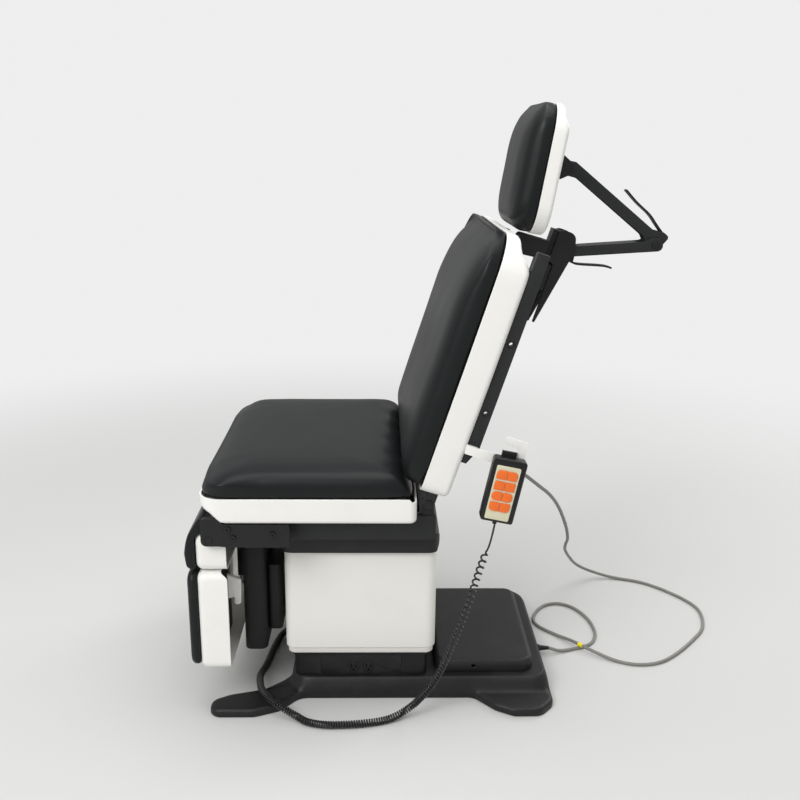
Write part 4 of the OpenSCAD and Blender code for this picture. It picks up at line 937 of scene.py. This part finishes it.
# How far the head cushion's top rounds over
HEAD_OVER = 15


def upright(frame_matrix, front, middle):
    """Matrix that stands a flat cushion up in a leaning frame, its crown to the front."""
    return (frame_matrix @ Matrix.Translation((0, front * MM, middle * MM))
            @ Matrix.Rotation(math.radians(90), 4, "X"))


def corner_shift(across, along, share):
    """Shift near a plan corner: a positive share squares a round corner, a negative one rounds a square one."""
    if across <= 0 or along <= 0:
        return Vector((0.0, 0.0))
    way = Vector((across, along))
    unit = way.normalized()
    lean = (unit.x ** SQUARENESS + unit.y ** SQUARENESS) ** (1 / SQUARENESS)
    return way * share * (1 / lean - 1 if share > 0 else 1 - lean)


def seat_folds(p):
    """Shapes the filled seat: a sitting dish, a falling front, a rear tucked under the back and its pleats."""
    top = smoothstep(p.z, 24, 50)
    dish = -SEAT_DISH * math.exp(-((p.x / 170) ** 2 + ((p.y + 20) / 120) ** 2)) * top
    front = -SEAT_FALL * clamp((-p.y - 60) / 146) ** 2 * top
    wide = abs(p.x) - SEAT_HALF
    rear = corner_shift(wide + SEAT_CORNER, p.y - SEAT_LENGTH / 2 + SEAT_CORNER, 0.8)
    ahead = corner_shift(wide + 130, -p.y - SEAT_LENGTH / 2 + 130, -0.55 * smoothstep(p.z, 6, 40))
    tuck = SEAT_TUCK * smoothstep(p.y, 148, 202) * (1 - clamp(p.z / 56))
    side = smoothstep(abs(p.x), 236, 286)
    pleat = -SEAT_PLEAT * math.exp(-((p.y - 186 + 0.5 * (p.z - 28)) / 7) ** 2) * side * smoothstep(p.z, 4, 16)
    ripple = SEAT_RIPPLE * math.sin(p.x / 15.0 + 1.3) * smoothstep(p.y, 160, 190) * smoothstep(p.z, 24, 44)
    return Vector((math.copysign(rear.x + ahead.x + pleat, p.x), rear.y - ahead.y + tuck, dish + front + ripple))


def back_folds(p):
    """Shapes the filled back: a slight lumbar swell, nearly square foot corners and a top that rounds over."""
    full = smoothstep(p.z, 20, 50)
    lumbar = BACK_LUMBAR * math.exp(-((p.y + 120) / 90) ** 2) * math.exp(-(p.x / 200) ** 2) * full
    foot = -BACK_FOOT * smoothstep(-p.y, 215, 268) * full
    over = -BACK_OVER * clamp((p.y - 90) / 172) ** 2 * full
    ripple = BACK_RIPPLE * math.sin(p.x / 21.0) * smoothstep(-p.y, 200, 245) * full
    low = corner_shift(abs(p.x) - 208, -p.y - 182.5, 0.85)
    return Vector((math.copysign(low.x, p.x), -low.y, lumbar + foot + over + ripple))


def head_folds(p):
    """Rounds the head cushion's top over further than its foot."""
    return Vector((0, 0, -HEAD_OVER * clamp((p.y - 20) / 112) ** 2 * smoothstep(p.z, 16, 44)))


# Half the width of the leg section, and the side view of its cushion as (y, z, corner radius)
LEG_HALF = 278
LEG_PROFILE = [(FOOT_FRONT, 351, 3), (-417, 352, 16), (-422, 390, 60), (-414, 428, 60), (-386.3, 473, 9),
               (-375.6, 473, 5), (-375.6, 436, 5), (FOOT_FRONT, 436, 1)]
# The cushion stays put behind this plane while it is filled
LEG_HELD = -402
# Rounding of that cushion's ends, as the inset at each distance from the end
LEG_ENDS = [(3, 0.6), (1.6, 1.8), (0.7, 4), (0.2, 9), (0, 18), (0, 40)]
# Room that the filling takes up
LEG_SWELL = 0.8


def long_cushion():
    """Cushion of one outline along the whole width of the leg section, drawn in at its two ends."""
    outline = counterclockwise(spaced(rounded(LEG_PROFILE, 6), 9))
    places = [(-LEG_HALF + x, off) for off, x in LEG_ENDS] + [(x, 0) for x in range(-220, 230, 40)] + [
        (LEG_HALF - x, off) for off, x in reversed(LEG_ENDS)]
    rings = [[(x, p.x, p.y) for p in inset(outline, off + LEG_SWELL)] for x, off in places]
    return outward(rings_mesh("leg_upholstery", rings, low="fan", high="fan"))


def make_cushions():
    """Seat, back, head, leg and footpad cushions, filled by simulation."""
    cushions = bpy.context.scene.chair_cushions
    fill, pressure = cushions.fill, cushions.pressure
    upholstered("seat_upholstery", "seat_cushion", "seat",
                pad_rings(2 * SEAT_HALF, SEAT_LENGTH, SEAT_CORNER, SEAT_STEPS, pull=3),
                Matrix.Translation((0, SEAT_MIDDLE * MM, SEAT_TOP * MM)), voxel=6, pressure=pressure, cap=3.5,
                wrinkle=seat_folds)
    upholstered("back_upholstery", "back_cushion", "back", pad_rings(*BACK_PLAN, BACK_STEPS, pull=3),
                upright(BACK, -0.3, 273.5), voxel=6, pressure=pressure, cap=4, wrinkle=back_folds)
    upholstered("head_upholstery", "head_cushion", "head", pad_rings(*HEAD_PLAN, HEAD_STEPS, pull=3),
                upright(HEAD, -67.3, -11.5), voxel=5, pressure=pressure, cap=3.5, wrinkle=head_folds)
    upholstered("footpad_upholstery", "footpad_cushion", "footpad", pad_rings(*FOOT_PLAN, FOOT_STEPS, pull=2),
                upright(UPRIGHT, FOOT_FRONT, 231.5), voxel=5, pressure=FIRM, cap=2)
    leg = long_cushion()
    swell(leg, voxel=5, pressure=FIRM, cap=2, held=lambda co: co.y > LEG_HELD * MM)
    leg.data.shade_smooth()
    dress(leg, "vinyl", "leg", "leg_cushion")


# Base and column

# Half of the base's plan: front edge, front foot, waist and rear foot, as (x, y, corner radius)
BASE_HALF = [(140, -215, 30), (165, -235, 20), (200, -275, 40), (218, -345, 40), (240, -384, 26), (284, -384, 26),
             (284, -285, 40), (262, -230, 30), (213, -190, 40), (213, 205, 30), (262, 250, 40), (284, 290, 30),
             (283, 350, 30), (246, BASE_REAR, 40)]
# The raised deck: half its width, its front and rear, the radius of its corners and its height; the feet's height
DECK_HALF = 207
DECK_FRONT = -205
DECK_REAR = 380
DECK_CORNER = 40
DECK_TOP = 48
FOOT_TOP = 19
# Width of the deck's edge, inside which it is flat
DECK_EDGE = 12
# The lid over the power unit: half its width, its height in the middle and its fall towards the sides
LID_HALF = 180
LID_TOP = 78
LID_FALL = 1.2
# Inset, share of the full height and rise of each ring of the cover's edge
BASE_EDGE = [(0, 0, 2.4), (0, 0.5, 0), (0.5, 0.66, 0), (1.8, 0.81, 0), (3.8, 0.91, 0), (6.4, 0.97, 0), (10, 1, 0)]
# Distance from the deck, as the most millimetres and the share of the way, of each ring of the cover's slope
SLOPE = [(math.inf, 0.88), (math.inf, 0.74), (math.inf, 0.6), (math.inf, 0.48), (30, 0.4), (24, 0.32), (18, 0.24),
         (12, 0.16), (6, 0.08), (0, 0)]
# Middle of the lifting column, and the width of its hole in the cover
COLUMN_Y = -52
COLUMN_HOLE = 104


def level(p, height):
    """Places a plan point at a height."""
    return Vector((p.x, p.y, height))


def deck_depth(p):
    """How far a plan point lies inside the raised deck, negative outside it."""
    middle = (DECK_FRONT + DECK_REAR) / 2
    x = abs(p.x) - DECK_HALF + DECK_CORNER
    y = abs(p.y - middle) - (DECK_REAR - DECK_FRONT) / 2 + DECK_CORNER
    return DECK_CORNER - min(max(x, y), 0) - math.hypot(max(x, 0), max(y, 0))


def base_height(p):
    """Height of the base cover: thin feet that flow up into the deck."""
    return FOOT_TOP + (DECK_TOP - FOOT_TOP) * smoothstep(deck_depth(p), -14, 10)


def deck_edge(p):
    """The nearest point of the deck's flat."""
    core = Vector((max(-DECK_HALF + DECK_CORNER, min(DECK_HALF - DECK_CORNER, p.x)),
                   max(DECK_FRONT + DECK_CORNER, min(DECK_REAR - DECK_CORNER, p.y))))
    return core + (p - core).normalized() * (DECK_CORNER - DECK_EDGE)


def drill(piece, point, way, radius, depth):
    """Drills a round blind hole, 0.85 of that depth inside, into a closed piece."""
    way = Vector(way)
    side = way.orthogonal().normalized()
    across = way.cross(side)
    rings = [[Vector(point) + way * (depth * s) + radius * (math.cos(a) * side + math.sin(a) * across)
              for a in round_turns(24)] for s in (-0.15, 0.85)]
    carve(piece, outward(rings_mesh("cutter", rings)))


def plain(node, look):
    """Gives a node of the construction its finished material."""
    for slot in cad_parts[node].material_slots:
        slot.material = finish(look)


def make_base():
    """Base cover with its four feet, the lid over the power unit and the socket panel."""
    plan = spaced(rounded(BASE_HALF + [(-x, y, r) for x, y, r in reversed(BASE_HALF)], 8), 14)
    rings = [[(p.x, p.y, 1) for p in inset(plan, 6)], [(p.x, p.y, 1) for p in inset(plan, 1)]]
    for off, share, rise in BASE_EDGE:
        rings.append([(p.x, p.y, base_height(p) * share + rise) for p in inset(plan, off)])
    edge = inset(plan, BASE_EDGE[-1][0])
    for most, share in SLOPE:
        ring = []
        for p in edge:
            goal = deck_edge(p)
            q = goal + (p - goal).normalized() * min(most, (p - goal).length * share)
            ring.append((q.x, q.y, base_height(q)))
        rings.append(ring)
    cover = outward(rings_mesh("base_moulding", rings))
    half = COLUMN_HOLE / 2
    cut_boxes(cover, [((-half, COLUMN_Y - half, -5), (half, COLUMN_Y + half, 60))])
    flatten_sharp(cover, 50)
    dress(cover, "black_abs", "base", "base_cover")
    lid = shell("power_unit_lid", spaced(box_outline(-LID_HALF, 118, LID_HALF, 348, 30), 14),
                rim=lambda p: DECK_TOP, floor=lambda p: LID_TOP - LID_FALL * (abs(p.x) / LID_HALF) ** 3,
                depth_way=level, edge=13, wall=3, centre=(0, 233))
    drill(lid, (172, 207, 63), way=(1, 0, 0), radius=4, depth=20)
    dress(lid, "black_abs", "base", "rear_lid")
    refined("inner_column_box", "black_metal", "base", 2.0, 3)
    refined("receptacle_panel", "black_abs", "base", 1.2, 3)
    refined("outlet_sockets", "black_gloss", "base", 0.8, 2)
    plain("base_plate", "plate_grey")
    plain("power_unit", "motor_grey")
    plain("lift_column_outer", "steel")


# The white cover's plan, as half its width and depth and its corner radius, and the height of its bottom
COVER_HALF, COVER_DEPTH, COVER_CORNER = 207, 168, 22
COVER_BOTTOM = 112
# Inset and height over its bottom of each ring of the white cover, with the step near its foot and its rolled top
COVER_RINGS = [(5.3, 0), (4.5, 1), (4.5, 12.4), (4.2, 13.6), (1.4, 14.6), (0.4, 15.6), (0, 17.6), (0, 90), (0, 170),
               (0, 248), (0.8, 251.4), (2.6, 253.4), (5.2, 254)]


def make_column():
    """White cover that rises with the seat, the inner covers and the shroud under the seat."""
    plan = spaced(box_outline(-COVER_HALF, COLUMN_Y - COVER_DEPTH, COVER_HALF, COLUMN_Y + COVER_DEPTH,
                              COVER_CORNER), 16)
    cover = rings_mesh("column_cover_moulding", [
        [(p.x, p.y, COVER_BOTTOM + z) for p in inset(plan, off)] for off, z in COVER_RINGS], low="open", high="open")
    outward_from(cover, (0, COLUMN_Y, 240))
    thicken(cover, wall=3.2)
    dress(cover, "cover_white", "carriage", "column_cover")
    refined("upper_shroud", "black_abs", "carriage", 3.0, 4)
    refined("carriage_frame", "frame_grey", "carriage", 1.2, 2)
    refined("middle_cover", "black_metal", "middle", 2.0, 3)
    plain("lift_column_middle", "steel")


# White shells


def graded(table, x, soft):
    """Height at x on a line through (x, height) points, its corners softened over that many millimetres."""
    def at(t):
        if t <= table[0][0]:
            return table[0][1]
        for (a, low), (b, high) in zip(table, table[1:]):
            if t <= b:
                return low + (high - low) * (t - a) / (b - a)
        return table[-1][1]
    return sum(at(x + soft * k / 4) for k in range(-4, 5)) / 9


def in_frame(matrix):
    """Places a plan point (across, up the slope) at a depth of a leaning frame."""
    return lambda p, depth: (matrix @ (Vector((p.x, depth, p.y)) * MM)) / MM


# Plans of the seat and back trays, as (across, along, corner radius)
SEAT_TRAY = [(-300, -384, 48), (300, -384, 48), (300, 66, 15), (-300, 66, 15)]
BACK_TRAY = [(-294, 0, 24), (294, 0, 24), (300, 272, 0), (297, 545, 82), (-297, 545, 82), (-300, 272, 0)]
# Rim of the seat tray, and how far it drops at the rear, under the back
SEAT_RIM, SEAT_NOTCH = 522, 7
# Underside of the seat tray, from its front to its rear, as (y, z)
SEAT_FLOOR = [(-384, 504), (-378, 495), (-356, 487), (-346, 478), (-336, 468), (60, 468)]
# Depth of the back tray along its height. Its middle follows this line that much sooner, to clear the headrest guide
BACK_FLOOR = [(0, 59.5), (492, 59.5), (518, 34), (563, 29)]
GUIDE_ROOM = 18
# Depth of the head tray along its height
HEAD_FLOOR = [(-144, -37), (76, -37), (90, -47), (121, -49)]


def make_shells():
    """Vacuum-formed white trays under the seat, back and head cushions."""
    covers = bpy.context.scene.chair_covers
    wall, roll = covers.wall / MM, covers.roll / MM
    seat = shell("seat_tray", spaced(rounded(SEAT_TRAY), 12),
                 rim=lambda p: SEAT_RIM - SEAT_NOTCH * smoothstep(p.y, 50, 58),
                 floor=lambda p: graded(SEAT_FLOOR, p.y, 5), depth_way=level, edge=9, wall=wall, centre=(0, -140))
    dress(seat, "white_abs", "seat", "seat_shell")
    back = shell("back_tray", spaced(rounded(BACK_TRAY), 7), rim=lambda p: 0,
                 floor=lambda p: graded(BACK_FLOOR, p.y + GUIDE_ROOM - GUIDE_ROOM * smoothstep(abs(p.x), 60, 120), 10),
                 depth_way=in_frame(BACK), edge=roll, wall=wall, centre=(0, 260))
    dress(back, "white_abs", "back", "back_shell")
    head = shell("head_tray", spaced(box_outline(-150, -144, 150, 121, 58), 10), rim=lambda p: -67,
                 floor=lambda p: graded(HEAD_FLOOR, p.y, 5), depth_way=in_frame(HEAD), edge=9, wall=wall,
                 centre=(0, -30))
    dress(head, "white_abs", "head", "head_shell")


# Front and rear of the leg section's trays
LEG_FRONT = -396
LEG_REAR = -331
# Slots, as low and high corners on the right-hand side, for what passes through the trays of the leg section
SLIDE_SLOT = ((118, -378, 336), (152, -320, 362))
PIN_POCKET = ((266, -373, 418), (282, -351, 440))
# Side view of the white pull as (y, z, corner radius), and its inset at each place across
PULL_PROFILE = [(-345, 307, 1), (-317, 297, 3), (-314, 294, 3), (-316, 238, 3), (-325, 234, 3), (-331, 238, 3),
                (-330, 253, 2), (-344, 249, 1)]
PULL_RINGS = [(196, 1.6), (196.5, 0.5), (197.6, 0), (204.4, 0), (205.5, 0.5), (206, 1.6)]


def both(low, high):
    """A box and its mirror image."""
    return [(low, high), ((-high[0], low[1], low[2]), (-low[0], high[1], high[2]))]


def make_leg():
    """Leg section and footpad: trays, sliding tubes and the white pull on the footpad's back."""
    wall = bpy.context.scene.chair_covers.wall / MM
    for name, low, high, body, node in (("leg_tray", 350, 435, "leg", "leg_shell"),
                                        ("footpad_tray", 115, 346, "footpad", "footpad_shell")):
        tray = shell(name, spaced(box_outline(-LEG_HALF, low, LEG_HALF, high, 20), 12),
                     rim=lambda p: LEG_REAR - 15 * smoothstep(p.y, high - 20, high) ** 2,
                     floor=lambda p: LEG_FRONT, depth_way=in_frame(UPRIGHT), edge=15, wall=wall,
                     centre=(0, (low + high) / 2))
        cut_boxes(tray, both(*SLIDE_SLOT) + (both(*PIN_POCKET) if body == "leg" else []))
        flatten_sharp(tray, 50)
        dress(tray, "white_abs", body, node)
    outline = counterclockwise(rounded(PULL_PROFILE, 4))
    pull = outward(rings_mesh("footpad_pull", [[(x, p.x, p.y) for p in inset(outline, off)] for x, off in PULL_RINGS]))
    flatten_sharp(pull, 50)
    dress(pull, "white_abs", "footpad", "footpad_handle")
    refined("leg_frame", "frame_grey", "leg", 1.2, 2)
    refined("footpad_slides", "steel", "footpad", 1.2, 2)


# Frame, rails, headrest and hand control

# Screws on the outer faces of the leg hinge plates: how far out the faces are, and each screw's place in side view
PLATE_FACE = 295
PLATE_SCREWS = [(-322, 456), (-312, 436), (-230, 444)]


def make_frame():
    """Steelwork under the seat and behind the back, with its screws."""
    refined("seat_frame", "frame_grey", "seat", 1.4, 2)
    for side in ("left", "right"):
        refined("leg_hinge_bracket_" + side, "black_metal", "seat", 1.4, 3)
        refined("rail_" + side, "frame_grey", "back", 2.4, 3, slot="black_metal")
    refined("actuator_housing", "motor_grey", "seat", 3.0, 3)
    refined("leg_motor", "motor_grey", "seat", 3.0, 3)
    refined("hinge_pins", "black_metal", "seat", 0.8, 2)
    refined("back_frame", "frame_grey", "back", 1.4, 2)
    refined("rail_bushings", "black_metal", "back", 1.0, 3, slot="steel")
    refined("handset_bracket", "white_abs", "back", 1.2, 3)
    refined("headrest_guide", "black_metal", "back", 1.2, 2)
    screws("hinge_plate_screws", [((side * PLATE_FACE, y, z), (side, 0, 0)) for side in (-1, 1)
                                  for y, z in PLATE_SCREWS], head=12, height=4.4, socket=5.5,
           look="black_metal", body="seat", node="frame_bolts")


def make_headrest():
    """Sliding mast and the two-link arm with its locking levers."""
    refined("headrest_mast", "black_metal", "mast", 1.4, 3)
    refined("lower_arm", "frame_grey", "lower_arm", 1.6, 3)
    refined("elbow_pin", "black_metal", "lower_arm", 0.8, 2)
    refined("lower_lever", "black_metal", "lower_lever", 1.4, 3)
    refined("upper_arm", "frame_grey", "upper_arm", 1.6, 3)
    refined("elbow_lever", "black_metal", "elbow_lever", 1.4, 3)
    refined("head_bracket", "black_metal", "head", 1.4, 3)


def make_control():
    """Hand control with its cream keypad and eight keys."""
    refined("handset_case", "black_gloss", "handset", 2.4, 4)
    refined("handset_keypad", "keypad_cream", "handset", 0.35, 2)
    for number in range(1, 9):
        refined(f"button_{number}", "button_orange", f"key_{number}", 0.8, 3)


# Floor, light and background

# Name, place in metres, size in metres and watts of each softbox; all look at the middle of the chair, LAMP_AIM
LAMP_AIM = Vector((0, 0, 0.6))
LAMPS = (("Key", (2.6, -1.9, 2.9), 1.8, 82), ("Top", (0.1, 0.1, 3.3), 2.6, 56), ("Rear", (-2.0, 2.4, 2.2), 1.6, 30))
FLOOR_RADIUS = 7000
FLOOR_SIDES = 64
# Metres from the middle over which the floor fades into the background
FADE_START, FADE_END = 0.9, 3.4


def seen_directly(tree):
    """1 for a ray from the camera or one that passed through glass, and 0 for the rest."""
    path = add(tree, "ShaderNodeLightPath")
    return add(tree, "ShaderNodeMath", {0: path.outputs["Is Camera Ray"], 1: path.outputs["Is Transmission Ray"]},
               operation="ADD", use_clamp=True)


def make_stage():
    """Pale floor that fades into a pale background, and soft studio light."""
    stage = bpy.context.scene.chair_stage
    floor_colour, backdrop = (*stage.floor, 1.0), (*stage.backdrop, 1.0)
    floor = mesh_of("floor", [(FLOOR_RADIUS * math.cos(a), FLOOR_RADIUS * math.sin(a), 0)
                              for a in round_turns(FLOOR_SIDES)], [list(range(FLOOR_SIDES))])
    material, tree, shader, place = blank("studio_floor")
    far = add(tree, "ShaderNodeVectorMath", {0: place}, operation="LENGTH")
    fade = add(tree, "ShaderNodeMapRange", {"Value": far.outputs["Value"], "From Min": FADE_START,
                                           "From Max": FADE_END}, interpolation_type="SMOOTHSTEP")
    shader.inputs["Base Color"].default_value = floor_colour
    shader.inputs["Roughness"].default_value = 0.9
    shader.inputs["Specular IOR Level"].default_value = 0.1
    glow = add(tree, "ShaderNodeEmission", {"Color": backdrop, "Strength": 1.0})
    seen = seen_directly(tree)
    amount = add(tree, "ShaderNodeMath", {0: seen.outputs[0], 1: fade.outputs[0]}, operation="MULTIPLY")
    mixed = add(tree, "ShaderNodeMixShader", {0: amount.outputs[0], 1: shader.outputs[0], 2: glow.outputs[0]})
    tree.links.new(mixed.outputs[0], tree.nodes["Material Output"].inputs["Surface"])
    floor.data.materials.append(material)

    world = bpy.data.worlds.new("Studio")
    world.use_nodes = True
    bpy.context.scene.world = world
    tree = world.node_tree
    light = tree.nodes["Background"]
    light.inputs["Color"].default_value = (1.0, 1.0, 1.0, 1.0)
    light.inputs["Strength"].default_value = 0.5
    shown = add(tree, "ShaderNodeBackground", {"Color": backdrop, "Strength": 1.0})
    seen = seen_directly(tree)
    mixed = add(tree, "ShaderNodeMixShader", {0: seen.outputs[0], 1: light.outputs[0], 2: shown.outputs[0]})
    tree.links.new(mixed.outputs[0], tree.nodes["World Output"].inputs["Surface"])

    for name, place, size, watts in LAMPS:
        lamp = bpy.data.lights.new(name, "AREA")
        lamp.shape = "SQUARE"
        lamp.size = size
        lamp.energy = watts
        holder = bpy.data.objects.new(name, lamp)
        holder.location = place
        holder.rotation_euler = (LAMP_AIM - Vector(place)).to_track_quat("-Z", "Y").to_euler()
        bpy.context.scene.collection.objects.link(holder)
    bpy.context.scene.view_settings.view_transform = "Standard"


# Operators, one for each group of pieces


class CHAIR_OT_camera(bpy.types.Operator):
    """Adds the camera at the photograph's viewing angle"""
    bl_idname = "exam_chair.camera"
    bl_label = "Camera"

    def execute(self, context):
        make_camera()
        return {"FINISHED"}


class CHAIR_OT_cords(bpy.types.Operator):
    """Makes the mains cord, the curly cord and their fittings"""
    bl_idname = "exam_chair.cords"
    bl_label = "Cords"

    def execute(self, context):
        make_cords()
        return {"FINISHED"}


class CHAIR_OT_base(bpy.types.Operator):
    """Makes the base cover, its lid and the socket panel"""
    bl_idname = "exam_chair.base"
    bl_label = "Base"

    def execute(self, context):
        make_base()
        return {"FINISHED"}


class CHAIR_OT_column(bpy.types.Operator):
    """Makes the covers of the lifting column"""
    bl_idname = "exam_chair.column"
    bl_label = "Column"

    def execute(self, context):
        make_column()
        return {"FINISHED"}


class CHAIR_OT_shells(bpy.types.Operator):
    """Makes the white shells of the seat, back and head"""
    bl_idname = "exam_chair.shells"
    bl_label = "Shells"

    def execute(self, context):
        make_shells()
        return {"FINISHED"}


class CHAIR_OT_cushions(bpy.types.Operator):
    """Makes the five cushions and fills them"""
    bl_idname = "exam_chair.cushions"
    bl_label = "Cushions"

    def execute(self, context):
        make_cushions()
        return {"FINISHED"}


class CHAIR_OT_leg(bpy.types.Operator):
    """Makes the leg section and the footpad"""
    bl_idname = "exam_chair.leg"
    bl_label = "Leg section"

    def execute(self, context):
        make_leg()
        return {"FINISHED"}


class CHAIR_OT_frame(bpy.types.Operator):
    """Makes the steel frame, the rails and their screws"""
    bl_idname = "exam_chair.frame"
    bl_label = "Frame"

    def execute(self, context):
        make_frame()
        return {"FINISHED"}


class CHAIR_OT_headrest(bpy.types.Operator):
    """Makes the headrest's mast, arms and levers"""
    bl_idname = "exam_chair.headrest"
    bl_label = "Headrest"

    def execute(self, context):
        make_headrest()
        return {"FINISHED"}


class CHAIR_OT_control(bpy.types.Operator):
    """Makes the hand control and its keys"""
    bl_idname = "exam_chair.control"
    bl_label = "Hand control"

    def execute(self, context):
        make_control()
        return {"FINISHED"}


class CHAIR_OT_stage(bpy.types.Operator):
    """Makes the floor, the background and the lights"""
    bl_idname = "exam_chair.stage"
    bl_label = "Stage"

    def execute(self, context):
        make_stage()
        return {"FINISHED"}


OPERATORS = (CHAIR_OT_camera, CHAIR_OT_cords, CHAIR_OT_base, CHAIR_OT_column, CHAIR_OT_shells, CHAIR_OT_cushions,
             CHAIR_OT_leg, CHAIR_OT_frame, CHAIR_OT_headrest, CHAIR_OT_control, CHAIR_OT_stage)
GROUPS = {"chair_cushions": CushionSettings, "chair_covers": CoverSettings, "chair_cords": CordSettings,
          "chair_stage": StageSettings}


class CHAIR_PT_panel(bpy.types.Panel):
    """Sidebar panel with the sizes and the steps of the chair"""
    bl_idname = "CHAIR_PT_panel"
    bl_label = "Exam Chair"
    bl_space_type = "VIEW_3D"
    bl_region_type = "UI"
    bl_category = "Exam Chair"

    def draw(self, context):
        for key, group in GROUPS.items():
            column = self.layout.column(align=True)
            for name in group.__annotations__:
                column.prop(getattr(context.scene, key), name)
        for operator in OPERATORS:
            self.layout.operator(operator.bl_idname)


def register():
    for kind in (*GROUPS.values(), *OPERATORS, CHAIR_PT_panel):
        bpy.utils.register_class(kind)
    for key, group in GROUPS.items():
        setattr(bpy.types.Scene, key, PointerProperty(type=group))


def unregister():
    for key in GROUPS:
        delattr(bpy.types.Scene, key)
    for kind in reversed((*GROUPS.values(), *OPERATORS, CHAIR_PT_panel)):
        bpy.utils.unregister_class(kind)


def main():
    register()
    steps = bpy.ops.exam_chair
    for step in (steps.camera, steps.cords, steps.base, steps.column, steps.shells, steps.cushions, steps.leg,
                 steps.frame, steps.headrest, steps.control, steps.stage):
        step()


if __name__ == "__main__":
    main()
